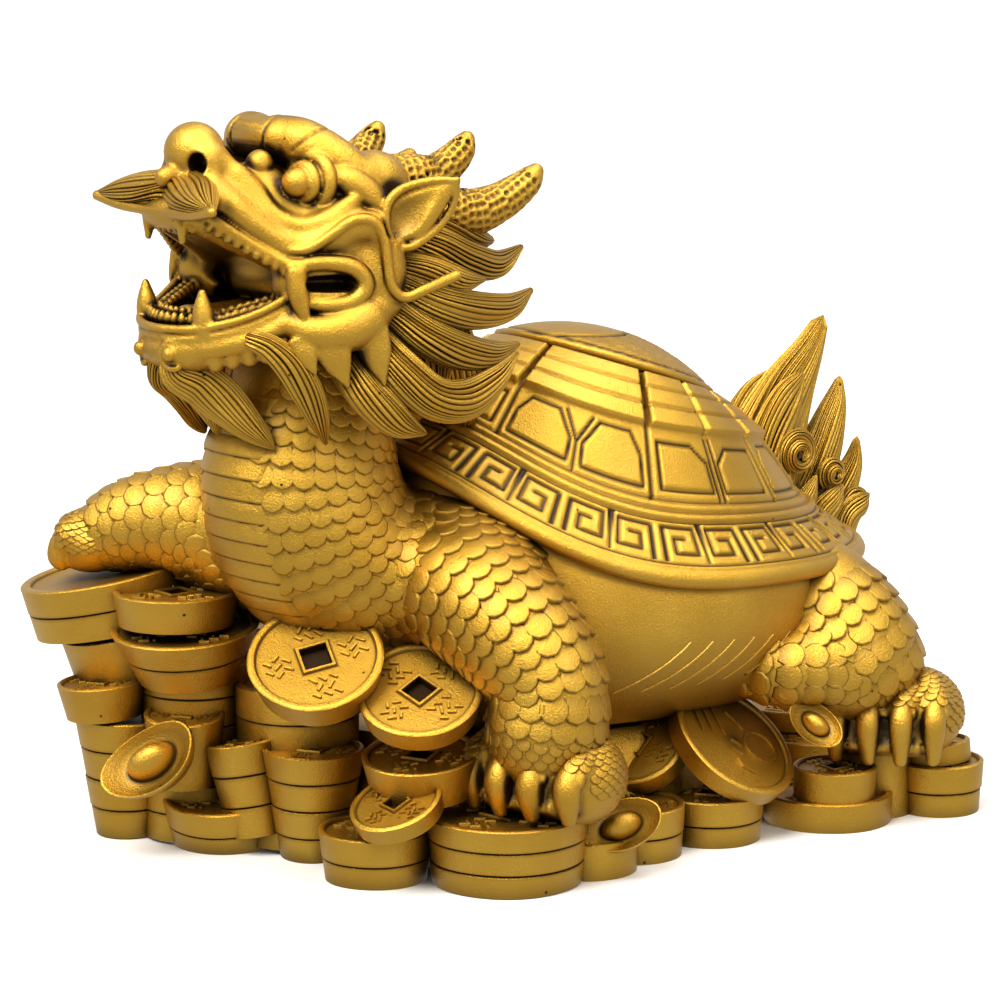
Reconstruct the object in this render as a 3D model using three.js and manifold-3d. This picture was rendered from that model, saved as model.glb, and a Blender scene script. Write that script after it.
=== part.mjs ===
// Dragon turtle on a heap of coins and ingots, one casting in brass.
// Millimetres, +Z up. The head looks towards -Y, the left side is +X, and the heap stands on z = 0.
import * as THREE from "three";
import { mergeVertices } from "three/addons/utils/BufferGeometryUtils.js";
import Module from "manifold-3d";

const wasm = await Module();
wasm.setup();

// Shell: an egg-shaped rim, a conical dome over it and a round cap on top.
const shellWidth = 108;
const shellLength = 126;
const shellCentreY = 19.5;
const rimHeight = 61;
const rimFall = 3;
const rimRiseAtNeck = 24;
const rimLip = 3;
const rimTuck = 10;
const rimSetback = 3;
const floorSetback = 18;
const bandShare = 0.37;
const bandRise = 0.3;
const cellShare = 0.64;
const cellRise = 0.72;
const capRadius = 24.8;
const capCentreY = 20;
const capHeight = 101.2;
const capTilt = THREE.MathUtils.degToRad(20);
const capCrown = 7;
const capEdge = 2;
const shellSegments = 24;

// Belly under the rim, down to where it meets the heap.
const bellyWidth = 66;
const bellyLength = 100;
const bellyCentreY = 15;
const bellyHeight = 30;
const bellySwell = 7;
const bellySink = 6;
const bellyRoof = 8;

// Heap: a low mound with coins laid round it and on it.
const moundWidth = 88;
const moundLength = 144;
const moundCentreY = 2;
const moundHeight = 25;
const moundTopShare = 0.74;
const heapReach = 2;
const coinSize = 25;
const coinThickness = 4.9;
const coinStep = 0.5;
const coinSides = 12;
const coinRim = 1.5;
const coinFaceDepth = 0.7;
const coinHoleWidth = 6;

// Coins and ingots are placed in millimetres on a mound of this width, length and height, with coins of
// this diameter, and follow the real mound and coins from there.
const drawnMound = new THREE.Vector3(88, 144, 25);
const heapUnit = new THREE.Vector3(moundWidth, moundLength, moundHeight).divide(drawnMound);
const coinUnit = coinSize / 25;

// Figure: every joint, lock and horn below is in these units, at this height.
const figureHeight = 162;
const unit = figureHeight / 162;

// Turns a three.js geometry into a solid whose shared corners are merged.
function solid(geometry) {
  const bare = new THREE.BufferGeometry();
  const whole = geometry.index ? geometry.toNonIndexed() : geometry;
  bare.setAttribute("position", whole.getAttribute("position"));
  const merged = mergeVertices(bare, 1e-4);
  return new wasm.Manifold(
    new wasm.Mesh({
      numProp: 3,
      vertProperties: merged.attributes.position.array,
      triVerts: new Uint32Array(merged.index.array),
    }),
  );
}

// A cylinder whose corners are moved: place(angle, along, share) gives each corner's new position.
// along runs from 0 at the first end to 1 at the last, and share is 0 at the middle of an end, else 1.
function moulded(sides, rows, place) {
  const geometry = new THREE.CylinderGeometry(1, 1, 1, sides, rows);
  const corners = geometry.getAttribute("position");
  for (let i = 0; i < corners.count; i += 1) {
    const x = corners.getX(i);
    const z = corners.getZ(i);
    const share = Math.hypot(x, z) > 0.5 ? 1 : 0;
    const angle = Math.round((Math.atan2(x, z) * sides) / (2 * Math.PI)) * ((2 * Math.PI) / sides);
    const point = place(angle, corners.getY(i) + 0.5, share);
    corners.setXYZ(i, point.x, point.y, point.z);
  }
  return solid(geometry);
}

// An egg or ball with its centre and half sizes, turned about X, then Z, in degrees.
function ball(centre, half, sides = 12, turnX = 0, turnZ = 0) {
  const geometry = new THREE.SphereGeometry(1, sides, Math.ceil(sides / 2));
  geometry.scale(half[0], half[1], half[2]);
  geometry.rotateX(THREE.MathUtils.degToRad(turnX));
  geometry.rotateZ(THREE.MathUtils.degToRad(turnZ));
  geometry.translate(centre[0], centre[1], centre[2]);
  geometry.scale(unit, unit, unit);
  return solid(geometry);
}

// A limb, lock or horn through stations [x, y, z, half width, half thickness], thin along flat.
function limb(stations, { sides = 8, rows = 6, flat = [0, 0, 1] } = {}) {
  const curve = new THREE.CatmullRomCurve3(
    stations.map(([x, y, z]) => new THREE.Vector3(x, y, z)),
    false,
    "centripetal",
  );
  const thin = new THREE.Vector3(...flat).normalize();
  const widthAt = (along, which) => {
    const place = along * (stations.length - 1);
    const first = Math.min(Math.floor(place), stations.length - 2);
    const size = (station) => station[3 + which] ?? station[3];
    return THREE.MathUtils.lerp(size(stations[first]), size(stations[first + 1]), place - first);
  };
  return moulded(sides, rows, (angle, along, share) => {
    const tangent = curve.getTangent(along);
    const across = new THREE.Vector3().crossVectors(thin, tangent).normalize();
    const through = new THREE.Vector3().crossVectors(tangent, across).normalize();
    return curve
      .getPoint(along)
      .addScaledVector(across, share * Math.cos(angle) * widthAt(along, 0))
      .addScaledVector(through, share * Math.sin(angle) * widthAt(along, 1))
      .multiplyScalar(unit);
  });
}

// The same form on the left (+X) and the right (-X).
function pair(make) {
  return [make(1), make(-1)];
}

// A point of the rim, at an angle round the shell.
function rimPoint(angle, grow = 0) {
  const along = Math.sin(angle);
  const rise = rimRiseAtNeck * Math.max(0, -along) ** 3;
  return new THREE.Vector3(
    (shellWidth / 2 + grow) * Math.cos(angle),
    shellCentreY + (shellLength / 2 + grow) * along,
    rimHeight - rimFall * along + rise,
  );
}

// A point of the cap's edge, or a share of the way out to it.
function capPoint(angle, share = 1, lift = 0) {
  const out = capRadius * share;
  return new THREE.Vector3(out * Math.cos(angle), out * Math.sin(angle), lift)
    .applyAxisAngle(new THREE.Vector3(1, 0, 0), -capTilt)
    .add(new THREE.Vector3(0, capCentreY, capHeight));
}

// The dome between the rim and the cap: share goes inwards and rise goes up, each from 0 to 1.
function domePoint(angle, share, rise) {
  const rim = rimPoint(angle);
  const cap = capPoint(angle, 1, -capEdge);
  const point = rim.clone().lerp(cap, share);
  point.z = THREE.MathUtils.lerp(rim.z, cap.z, rise);
  return point;
}

// The shell's upper side, closed underneath by a floor inside the body.
function shell() {
  const rows = [
    (angle) => capPoint(angle, 0, capCrown),
    (angle) => capPoint(angle, 0.5, capCrown * 0.78),
    (angle) => capPoint(angle, 0.84, capCrown * 0.32),
    (angle) => capPoint(angle, 1.02),
    (angle) => capPoint(angle, 1.02, -capEdge),
    (angle) => domePoint(angle, cellShare, cellRise),
    (angle) => domePoint(angle, bandShare, bandRise),
    (angle) => rimPoint(angle),
    (angle) => rimPoint(angle, rimLip * 0.2).add(new THREE.Vector3(0, 0, -rimLip)),
    (angle) => rimPoint(angle, -rimSetback).add(new THREE.Vector3(0, 0, -rimLip * 1.2)),
    (angle) => rimPoint(angle, -floorSetback).add(new THREE.Vector3(0, 0, -rimTuck)),
  ];
  const floorCentre = new THREE.Vector3(0, shellCentreY, rimHeight - rimTuck);
  return moulded(shellSegments, rows.length - 1, (angle, along, share) => {
    const row = Math.round((1 - along) * (rows.length - 1));
    if (share === 1 && row > 0) return rows[row](angle);
    return row === rows.length - 1 ? floorCentre : rows[0](angle);
  });
}

// The smooth belly, from inside the rim down into the heap.
function belly() {
  const bottom = (angle) =>
    new THREE.Vector3(
      (bellyWidth / 2) * Math.cos(angle),
      bellyCentreY + (bellyLength / 2) * Math.sin(angle),
      bellyHeight,
    );
  return moulded(20, 4, (angle, along, share) => {
    const rim = rimPoint(angle, -rimSetback);
    rim.z -= rimLip * 0.87;
    const height = along > 0.5 ? rimHeight + bellyRoof : bellyHeight - bellySink;
    const centre = new THREE.Vector3(0, shellCentreY, height);
    if (share === 0) return centre;
    const down = 1 - along;
    const swell = bellySwell * Math.sin(Math.PI * down);
    return rim
      .lerp(bottom(angle), down)
      .add(new THREE.Vector3(Math.cos(angle) * swell, Math.sin(angle) * swell, -swell * 0.6));
  });
}

// The lean of a coin or ingot: its upper face tips by lean degrees towards heading, and sits at x, y, z.
function placed(x, y, z, lean, heading) {
  const way = THREE.MathUtils.degToRad(heading);
  const axis = new THREE.Vector3(-Math.sin(way), Math.cos(way), 0);
  const place = new THREE.Vector3(x, y, z).multiply(heapUnit);
  return new THREE.Matrix4().makeRotationAxis(axis, THREE.MathUtils.degToRad(lean)).setPosition(place);
}

// A stack of coins: x, y and z are the middle of its upper face.
function coin(x, y, z, size, options = {}) {
  const { lean = 0, heading = 0, count = 1, face = false } = options;
  const radius = size * coinUnit;
  const thick = options.thick ? options.thick * coinUnit : coinThickness;
  const taper = (options.taper ?? 0) * coinUnit;
  const profile = [new THREE.Vector2(0, 0)];
  for (let i = 0; i < count; i += 1) {
    const wide = radius - taper * i - coinStep * (i % 2);
    profile.push(new THREE.Vector2(wide, -thick * i));
    profile.push(new THREE.Vector2(wide - taper * 0.5, -thick * (i + 1)));
  }
  profile.push(new THREE.Vector2(0, -thick * count));
  const geometry = new THREE.LatheGeometry(profile.reverse(), size > 13 ? coinSides : coinSides - 2);
  geometry.rotateX(Math.PI / 2);
  let stack = solid(geometry);
  if (face) {
    const well = new THREE.CylinderGeometry(radius - coinRim, radius - coinRim, coinFaceDepth * 2, coinSides);
    well.rotateX(Math.PI / 2);
    const hole = new THREE.BoxGeometry(coinHoleWidth, coinHoleWidth, coinFaceDepth * 4);
    stack = stack.subtract(solid(well)).subtract(solid(hole));
  }
  return stack.transform(placed(x, y, z, lean, heading).elements);
}

// A boat-shaped ingot with a round button in it, its face tipped by lean degrees towards heading.
function ingot(x, y, z, size, { lean = 0, heading = 0, spin = 0 } = {}) {
  const halfLength = size * coinUnit;
  const halfWidth = halfLength * 0.62;
  const height = halfLength * 0.55;
  const prow = halfLength * 0.16;
  const profile = [
    [0, -height],
    [0.55, -height],
    [1, 0],
    [0.9, 0],
    [0.56, -height * 0.32],
    [0.38, height * 0.12],
    [0, height * 0.3],
  ].map(([out, up]) => new THREE.Vector2(out, up));
  const geometry = new THREE.LatheGeometry(profile, 10);
  geometry.rotateX(Math.PI / 2);
  const corners = geometry.getAttribute("position");
  for (let i = 0; i < corners.count; i += 1) {
    const along = corners.getX(i);
    corners.setXYZ(i, along * halfLength, corners.getY(i) * halfWidth, corners.getZ(i) + prow * along ** 2);
  }
  geometry.rotateZ(THREE.MathUtils.degToRad(spin));
  geometry.applyMatrix4(placed(x, y, z, lean, heading));
  return solid(geometry);
}

// A paw: a pad with toes that end in claws curving down, fanned round heading in degrees.
function paw(x, y, z, heading, width = 27, toes = 4) {
  const parts = [ball([x, y, z + 2], [width * 0.46, width * 0.46, 9], 8)];
  for (let toe = 0; toe < toes; toe += 1) {
    const spread = THREE.MathUtils.degToRad(heading + (toe - (toes - 1) / 2) * 30);
    const out = (reach) => [x + width * reach * Math.cos(spread), y + width * reach * Math.sin(spread)];
    const stations = [
      [...out(0.2), z + 6, 3.4, 3.2],
      [...out(0.48), z + 5, 3.6, 3.4],
      [...out(0.62), z - 1, 2.3, 2],
      [...out(0.6), z - 7.5, 0.6, 0.5],
    ];
    parts.push(limb(stations, { sides: 5, rows: 3, flat: [Math.cos(spread), Math.sin(spread), 0.4] }));
  }
  return wasm.Manifold.union(parts);
}

function neckAndChest() {
  return [
    limb(
      [
        [0, -34, 54, 26, 20],
        [0, -50, 60, 26, 21],
        [0, -60, 71, 22.5, 21],
        [0, -64, 85, 20, 20.5],
        [0, -61, 100, 18, 18],
        [0, -55, 118, 17, 17],
      ],
      { sides: 12, rows: 5, flat: [0, 1, 0] },
    ),
    ball([0, -30, 60], [38, 26, 22], 8),
  ];
}

function foreLegs() {
  const left = limb(
    [
      [18, -42, 64, 14, 15],
      [30, -41, 60, 14, 15],
      [41, -38, 53, 13.5, 14],
      [48, -35, 43, 12.5, 12.5],
      [51, -38, 32, 11.5, 11.5],
      [53, -41, 25, 12, 10],
    ],
    { sides: 8, rows: 6, flat: [0, 1, 0] },
  );
  const right = limb(
    [
      [-14, -52, 62, 17, 17],
      [-29, -64, 68, 14, 14.5],
      [-38, -73, 69.5, 11, 11.5],
      [-47, -79.5, 67, 9, 9],
      [-55, -85.5, 62.5, 7, 5.5],
    ],
    { sides: 8, rows: 5, flat: [0, 0, 1] },
  );
  return [left, right, paw(53, -41, 25, -52), paw(-51.5, -83, 60.5, -125, 14, 3)];
}

function hindLegs() {
  return pair((side) =>
    wasm.Manifold.union([
      limb(
        [
          [side * 26, 45, 52, 14, 16],
          [side * 41, 48, 48, 14, 16],
          [side * 50, 53, 38, 13, 14],
          [side * 52, 58, 27, 11, 12],
          [side * 52, 61, 20, 11, 10],
        ],
        { sides: 8, rows: 5, flat: [0, 1, 0] },
      ),
      limb(
        [
          [side * 30, 26, 40, 9, 9],
          [side * 46, 32, 37, 10, 9],
          [side * 50, 46, 36, 12, 12],
        ],
        { sides: 7, rows: 2, flat: [0, 0, 1] },
      ),
      paw(side * 52, 61, 20, side > 0 ? -48 : -132, 25),
    ]),
  );
}

function skull() {
  const parts = [
    ball([0, -56, 131], [22, 18, 20], 8),
    limb(
      [
        [0, -58, 141, 19, 13],
        [0, -72, 146, 15, 9],
        [0, -84, 148, 11, 6],
        [0, -92, 148, 9, 4.5],
      ],
      { sides: 10, rows: 4 },
    ),
    limb(
      [
        [0, -60, 128, 20, 9],
        [0, -74, 131, 17, 6.5],
        [0, -86, 137, 13, 5],
        [0, -96, 142, 9, 4.5],
      ],
      { sides: 10, rows: 4 },
    ),
    ball([0, -89.5, 153.4], [9.4, 6.6, 6.8], 8),
    ball([0, -95, 138], [4.6, 3, 3.4], 6),
    limb(
      [
        [-7.5, -73, 155, 5.5, 5.4],
        [0, -74.5, 156, 6, 5.8],
        [7.5, -73, 155, 5.5, 5.4],
      ],
      { sides: 8, rows: 2, flat: [0, 1, 0] },
    ),
  ];
  for (const part of pair((side) =>
    wasm.Manifold.union([
      ball([side * 15, -62, 122], [9.5, 10, 13], 8),
      limb(
        [
          [side * 5, -71, 155.5, 5.2, 5],
          [side * 11, -64, 153, 5.8, 5.2],
          [side * 17, -56, 147.5, 4.6, 4.6],
          [side * 20, -53, 139, 4.8, 4.6],
        ],
        { sides: 6, rows: 4, flat: [0, 0.6, 0.8] },
      ),
      limb(
        [
          [side * 7, -71, 147, 6, 6],
          [side * 13.5, -73.5, 148, 5.4, 5.4],
          [side * 17, -75.5, 148.6, 3.8, 3.8],
        ],
        { sides: 8, rows: 2, flat: [0, 0, 1] },
      ),
      limb(
        [
          [side * 2, -93, 146.5, 7, 4.2],
          [side * 11, -96, 146, 6, 3.6],
          [side * 21, -99, 144.2, 1.2, 0.8],
        ],
        { sides: 6, rows: 3 },
      ),
      limb(
        [
          [side * 23, -57, 135, 4.4, 3],
          [side * 29, -54, 141, 5, 2.4],
          [side * 35, -47, 148, 1, 0.8],
        ],
        { sides: 6, rows: 3, flat: [0.6 * side, -0.75, 0.1] },
      ),
    ]),
  ))
    parts.push(part);
  return parts;
}

function lowerJaw() {
  const lip = [
    [-20, -77, 125.5, 1.8],
    [-17, -87, 121, 1.9],
    [-11, -96.5, 118.6, 2],
    [0, -100.5, 118.2, 2.1],
    [11, -96.5, 118.6, 2],
    [17, -87, 121, 1.9],
    [20, -77, 125.5, 1.8],
  ];
  const parts = [
    limb(
      [
        [0, -62, 117, 18, 8],
        [0, -76, 115.5, 17, 5.5],
        [0, -88, 114.6, 14, 4.6],
        [0, -97.5, 114.8, 10, 4.2],
      ],
      { sides: 10, rows: 4 },
    ),
    limb(lip, { sides: 5, rows: 8 }),
    ball([0, -93, 112.8], [11, 8.5, 5], 8),
    limb(
      [
        [0, -66, 121, 9, 3],
        [0, -80, 120, 8, 2.4],
        [0, -90, 121, 5, 1.6],
      ],
      { sides: 8, rows: 4 },
    ),
  ];
  for (const part of pair((side) =>
    wasm.Manifold.union([
      limb(
        [
          [side * 10, -94.5, 117, 2.4, 2.2],
          [side * 10.4, -95.2, 122, 1.8, 1.6],
          [side * 10.6, -95.2, 127, 0.6, 0.5],
        ],
        { sides: 6, rows: 2, flat: [0, 1, 0] },
      ),
      limb(
        [
          [side * 17, -72, 131, 2.8, 2],
          [side * 19, -73, 125, 2.2, 1.8],
          [side * 19.6, -73, 119, 0.7, 0.6],
        ],
        { sides: 6, rows: 3, flat: [1, 0, 0] },
      ),
    ]),
  ))
    parts.push(part);
  return parts;
}

function beard() {
  const parts = [
    limb(
      [
        [0, -93, 111, 9, 4],
        [0, -85, 104, 8.5, 4],
        [0, -79, 96.5, 8, 4],
        [0, -77, 87, 4, 3],
      ],
      { sides: 8, rows: 5, flat: [0, 1, 0] },
    ),
  ];
  for (const part of pair((side) =>
    limb(
      [
        [side * 13, -75, 113, 3, 3.4],
        [side * 17, -72, 106, 3.4, 3.4],
        [side * 18, -73, 99, 3, 3],
        [side * 16, -74, 90, 1, 1.4],
      ],
      { sides: 7, rows: 4, flat: [1, 0, 0] },
    ),
  ))
    parts.push(part);
  return parts;
}

// Horns: each forks into an upper tine and a longer rear tine.
function horns() {
  return pair((side) =>
    wasm.Manifold.union([
      limb(
        [
          [side * 12, -54, 147, 5.6],
          [side * 14, -46, 147.5, 5],
          [side * 15, -39, 148, 4.2],
          [side * 16, -33.5, 152, 3.3],
          [side * 16, -31.5, 154.8, 1.4],
        ],
        { sides: 6, rows: 4 },
      ),
      limb(
        [
          [side * 15, -46, 143, 6],
          [side * 18, -35, 139.5, 5.4],
          [side * 20, -27, 141, 4.4],
          [side * 22, -20.5, 145, 3.3],
          [side * 22.5, -18, 147.6, 1.4],
        ],
        { sides: 6, rows: 4 },
      ),
    ]),
  );
}

// Mane: flame-shaped locks that sweep back from the cheeks and lie on the shell.
function mane() {
  const locks = (side) => [
    [
      [20, -54, 137, 5, 5],
      [24, -44, 131, 7, 6],
      [23, -30, 127, 5.5, 5],
      [20, -20, 131, 1, 1],
    ],
    [
      [22, -54, 128, 6, 5],
      [26, -43, 121, 7, 6],
      [24, -29, 118, 5.5, 5],
      [22, -18.5, 122, 1, 1],
    ],
    [
      [23, -58, 121, 5, 5],
      [29, -51, 113, 8, 6],
      [30, -40, 109, 7, 5],
      [28, -27, 112, 1.2, 1.2],
    ],
    [
      [22, -60, 112, 6, 5],
      [29, -57, 104, 7, 5.5],
      [33, -46, 99.5, 6.5, 5],
      [33, -36, 103.5, 4, 3.4],
      [31, -28.5, 110, 1, 1],
    ],
    [
      [19, -61, 107, 5, 5],
      [26, -61, 100, 6, 5],
      [32, -54, 94, 5, 4.5],
      [36, -46, 92, 1, 1],
    ],
  ].map((stations) => stations.map(([x, y, z, wide, thick]) => [side * x, y, z, wide, thick]));
  const parts = [];
  for (const side of [1, -1]) {
    for (const stations of locks(side)) {
      parts.push(limb(stations, { sides: 6, rows: 4, flat: [1, 0, 0.2 * side] }));
    }
  }
  parts.push(
    limb(
      [
        [0, -44, 138, 15, 14],
        [0, -37, 124, 17, 12],
        [0, -30, 106, 19, 11],
        [0, -26, 94, 18, 8],
      ],
      { sides: 10, rows: 4, flat: [0, 1, 0] },
    ),
  );
  return parts;
}

// Tail: flame-shaped locks that stand up behind the shell, on a curled root.
function tail() {
  const locks = [
    [
      [0, 64, 64, 14, 9],
      [0, 68, 77, 12.5, 7],
      [0, 72.4, 87, 9.6, 5],
      [0, 82, 98, 5, 3],
      [0, 86.6, 105, 2, 1.3],
    ],
    [
      [0, 76, 60, 9, 7],
      [0, 86, 74, 5.4, 5],
      [0, 90, 83, 3.3, 3],
      [0, 92.5, 90, 0.9, 0.9],
    ],
    [
      [0, 80, 55, 8, 7],
      [0, 92, 62, 4.4, 4.4],
      [0, 97, 69, 2.8, 2.6],
      [0, 98.4, 75, 0.8, 0.8],
    ],
  ];
  const parts = locks.map((stations) => limb(stations, { sides: 7, rows: 5, flat: [1, 0, 0] }));
  parts.push(ball([0, 72, 54], [14, 12, 14], 10));
  for (const part of pair((side) =>
    wasm.Manifold.union([
      ball([side * 5, 77, 77], [4, 5, 5], 8),
      ball([side * 6, 91, 60], [3.6, 3.2, 3.2], 8),
    ]),
  ))
    parts.push(part);
  return parts;
}

// The low mound inside the heap, which carries every coin and the belly.
function mound() {
  return moulded(16, 2, (angle, along, share) => {
    const shrink = THREE.MathUtils.lerp(1, moundTopShare, along) * share;
    return new THREE.Vector3(
      (moundWidth / 2) * shrink * Math.cos(angle),
      moundCentreY + (moundLength / 2) * shrink * Math.sin(angle),
      moundHeight * along,
    );
  });
}

// The coins and ingots that show from the front and the left.
function treasureInFront() {
  return [
    coin(-40, -82.5, 24.3, 11.4, { count: 4, thick: 6.2, taper: 1.2 }),
    coin(-28, -75, 39.4, 12.6, { thick: 41 }),
    coin(-20.5, -70, 9.6, 14, { count: 2, taper: 0.6 }),
    coin(1, -62, 24.2, 11.1, { count: 4, thick: 6.2, taper: 0.6 }),
    coin(23, -61.5, 11, 11.8, { count: 2, thick: 6, taper: 0.4 }),
    coin(41.4, -41, 13.4, 17, { count: 3, taper: 0.8 }),
    coin(45, -22, 8, 11, { thick: 9 }),
    coin(41.8, -6, 11.4, 11.4, { count: 2, thick: 6, taper: 0.4 }),
    coin(42.2, 16, 10.4, 11.8, { count: 2, thick: 5.6, taper: 0.4 }),
    coin(46.7, 47, 6.6, 14.6, { thick: 7.5, taper: 0.4 }),
    coin(51, 45, 13.4, 9.4, { thick: 8, taper: 0.6 }),
    coin(55.7, 72.6, 11.7, 10.4, { count: 2, thick: 6.3, taper: 0.6 }),
    coin(54, 72, 15.6, 8.6, { lean: 6, heading: 200 }),
    coin(48, 60, 15, 9, { thick: 16 }),
    coin(-51.8, -80, 57.4, 20, { count: 2, thick: 6.2, lean: 11, heading: 232, taper: 1 }),
    coin(-46.5, -78, 45, 15.6, { thick: 11.4, lean: 10, heading: 232, taper: 3 }),
    coin(-44, -87, 34.6, 9.8, { thick: 8, lean: 4, heading: 232, taper: 1.6 }),
    coin(-28.5, -77, 56, 14, { thick: 7, taper: 1 }),
    coin(-27, -76, 48.6, 16.6, { count: 2, thick: 5.4, lean: 7, heading: -70, taper: 1.2 }),
    coin(-18, -82, 31.5, 9.4, { thick: 14, lean: 6, heading: 220, taper: 1 }),
    coin(-9, -76, 26.5, 8.6, { thick: 22 }),
    coin(9, -68.5, 44.2, 14.6, { lean: 38, heading: -44, face: true, thick: 6.5 }),
    coin(29, -55, 41, 12.5, { lean: 34, heading: -42, face: true }),
    coin(28, -53, 27.2, 12.6, { lean: 8, heading: -60, thick: 9 }),
    coin(34, -64.5, 19.6, 9.6, { lean: 26, heading: -75, taper: 0.6 }),
    coin(34.4, 8, 22.6, 9.4, { lean: 34, heading: -50, face: true }),
    coin(46, 20.5, 22.5, 13.2, { lean: 42, heading: -30, taper: 0.8 }),
    ingot(-19.9, -90, 21.4, 12, { lean: 62, heading: -65, spin: 20 }),
    ingot(54.6, -20, 11, 9, { lean: 60, heading: -40, spin: 70 }),
    ingot(48, 39, 27.4, 6.4, { lean: 60, heading: -40, spin: 70 }),
  ];
}

// Stacks round the right side and the back, where the heap is plainer.
function treasureBehind() {
  const parts = [];
  const stacks = 10;
  for (let i = 0; i < stacks; i += 1) {
    const angle = THREE.MathUtils.degToRad(70 + i * 16.5);
    const top = 4.9 * (2 + (i % 2)) - 0.15 * i;
    parts.push(
      coin(
        (drawnMound.x / 2) * Math.cos(angle),
        moundCentreY + (drawnMound.y / 2 + heapReach) * Math.sin(angle),
        top,
        12.9 + Math.sin(i * 2.4),
        { thick: top + 1 },
      ),
    );
  }
  parts.push(coin(-49, 57, 14, 13, { thick: 15 }));
  for (let i = 0; i < 3; i += 1) {
    parts.push(
      coin(-34, -40 + i * 30, 23 + 3 * (i % 2), 12.5, { lean: 22 + 8 * (i % 2), heading: 180 }),
    );
  }
  return parts;
}

// Everything above the ground, joined into one casting.
function casting() {
  const parts = [
    shell(),
    belly(),
    ball([0, 19.5, 54], [38, 48, 30], 10),
    mound(),
    ...neckAndChest(),
    ...foreLegs(),
    ...hindLegs(),
    ...skull(),
    ...lowerJaw(),
    ...beard(),
    ...horns(),
    ...mane(),
    ...tail(),
    ...treasureInFront(),
    ...treasureBehind(),
  ];
  const depth = figureHeight;
  const ground = new THREE.BoxGeometry(shellLength * 6, shellLength * 6, depth * 2);
  ground.translate(0, 0, -depth);
  const nostrils = pair((side) => ball([side * 8, -95.5, 153.6], [2.4, 4, 3], 8));
  return wasm.Manifold.union(parts).subtract(wasm.Manifold.union([solid(ground), ...nostrils]));
}

function meshOf(manifold, name, material) {
  const made = manifold.getMesh();
  const geometry = new THREE.BufferGeometry();
  geometry.setAttribute("position", new THREE.BufferAttribute(made.vertProperties, made.numProp));
  geometry.setIndex(new THREE.BufferAttribute(made.triVerts, 1));
  geometry.computeVertexNormals();
  const mesh = new THREE.Mesh(geometry, material);
  mesh.name = name;
  return mesh;
}

const brass = new THREE.MeshStandardMaterial({ color: 0xc9a227, metalness: 1, roughness: 0.38 });
const dragonTurtle = new THREE.Group();
dragonTurtle.add(meshOf(casting(), "dragon_turtle", brass));

export default dragonTurtle;
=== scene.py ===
"""Dragon-headed turtle on a heap of coins and ingots, one casting with an antique gold finish."""
import math
from functools import lru_cache
from itertools import product

import bpy
import numpy as np
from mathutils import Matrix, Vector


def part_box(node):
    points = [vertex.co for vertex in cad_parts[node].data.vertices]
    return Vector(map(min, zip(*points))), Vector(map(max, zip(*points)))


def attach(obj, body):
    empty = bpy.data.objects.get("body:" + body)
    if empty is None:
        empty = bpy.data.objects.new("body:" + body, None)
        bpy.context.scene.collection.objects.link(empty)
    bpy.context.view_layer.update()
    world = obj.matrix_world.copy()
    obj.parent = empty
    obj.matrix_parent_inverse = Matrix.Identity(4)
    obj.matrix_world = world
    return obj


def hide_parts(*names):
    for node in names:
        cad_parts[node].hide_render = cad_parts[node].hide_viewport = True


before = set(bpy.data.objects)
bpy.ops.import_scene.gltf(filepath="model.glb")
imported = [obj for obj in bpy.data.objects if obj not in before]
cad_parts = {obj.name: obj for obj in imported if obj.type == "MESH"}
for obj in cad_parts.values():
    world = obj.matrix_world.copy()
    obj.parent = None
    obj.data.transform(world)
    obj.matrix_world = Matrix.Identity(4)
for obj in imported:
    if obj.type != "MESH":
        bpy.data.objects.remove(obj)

import openvdb
from mathutils import Matrix, Vector

bl_info = {
    "name": "Dragon Turtle Casting",
    "version": (1, 0, 0),
    "blender": (4, 5, 0),
    "location": "View3D > Sidebar > Dragon Turtle",
    "description": "Builds a cast dragon-headed turtle on coins and ingots",
    "category": "Add Mesh",
}

NODE = "dragon_turtle"
LOW, HIGH = (np.array(corner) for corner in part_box(NODE))
DRAWN_HEIGHT = 162.0
# Forms below are drawn in millimetres on a figure of the drawn height, and follow the frame's height.
UNIT = float(HIGH[2] - LOW[2]) / DRAWN_HEIGHT
# Distances are held up to this far from a surface.
FAR = 6.0
SIDES = (1, -1)
# Most triangles of the pieces that are meshed from a block of space.
MOST = {"body": 30000, "paws": 49000, "head": 146000, "horns": 50000}
# What a mirrored lock or leaf is thin along, beside the jaw.
JAW_OUTWARD = (0.775, -0.605, 0.18)


# Sculpting: forms are joined softly in a block of space, and its surface becomes a mesh.


def unit_rows(vectors):
    """The same vectors with length one."""
    return vectors / np.maximum(np.linalg.norm(vectors, axis=-1, keepdims=True), 1e-9)


def spline(stations, steps):
    """A smooth run through stations [x, y, z, half width, half thickness]."""
    rows = np.array([row if len(row) == 5 else (*row, row[3]) for row in stations], float)
    ends = np.vstack([2 * rows[0] - rows[1], rows, 2 * rows[-1] - rows[-2]])
    t = np.arange(steps)[:, None] / steps
    out = []
    for a, b, c, d in zip(ends, ends[1:], ends[2:], ends[3:]):
        bend = 2 * a - 5 * b + 4 * c - d
        out.append(0.5 * (2 * b + (c - a) * t + bend * t**2 + (3 * b - a - 3 * c + d) * t**3))
    run = np.vstack([*out, rows[-1:]])
    run[:, 3:] = np.maximum(run[:, 3:], 0.9 * rows[:, 3:].min())
    return run


def limb_frames(run, flat):
    """Unit vectors across and through a limb at each place of its run, thin along flat."""
    along = unit_rows(np.gradient(run[:, :3], axis=0))
    across = np.cross(flat, along)
    last = np.cross(np.roll(flat, 1), along[0])
    for i, way in enumerate(along):
        if np.linalg.norm(across[i]) < 0.1:
            across[i] = last - way * (way @ last)
        across[i] /= np.linalg.norm(across[i])
        if i and across[i] @ last < 0:
            across[i] = -across[i]
        last = across[i]
    return across, np.cross(along, across)


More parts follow.
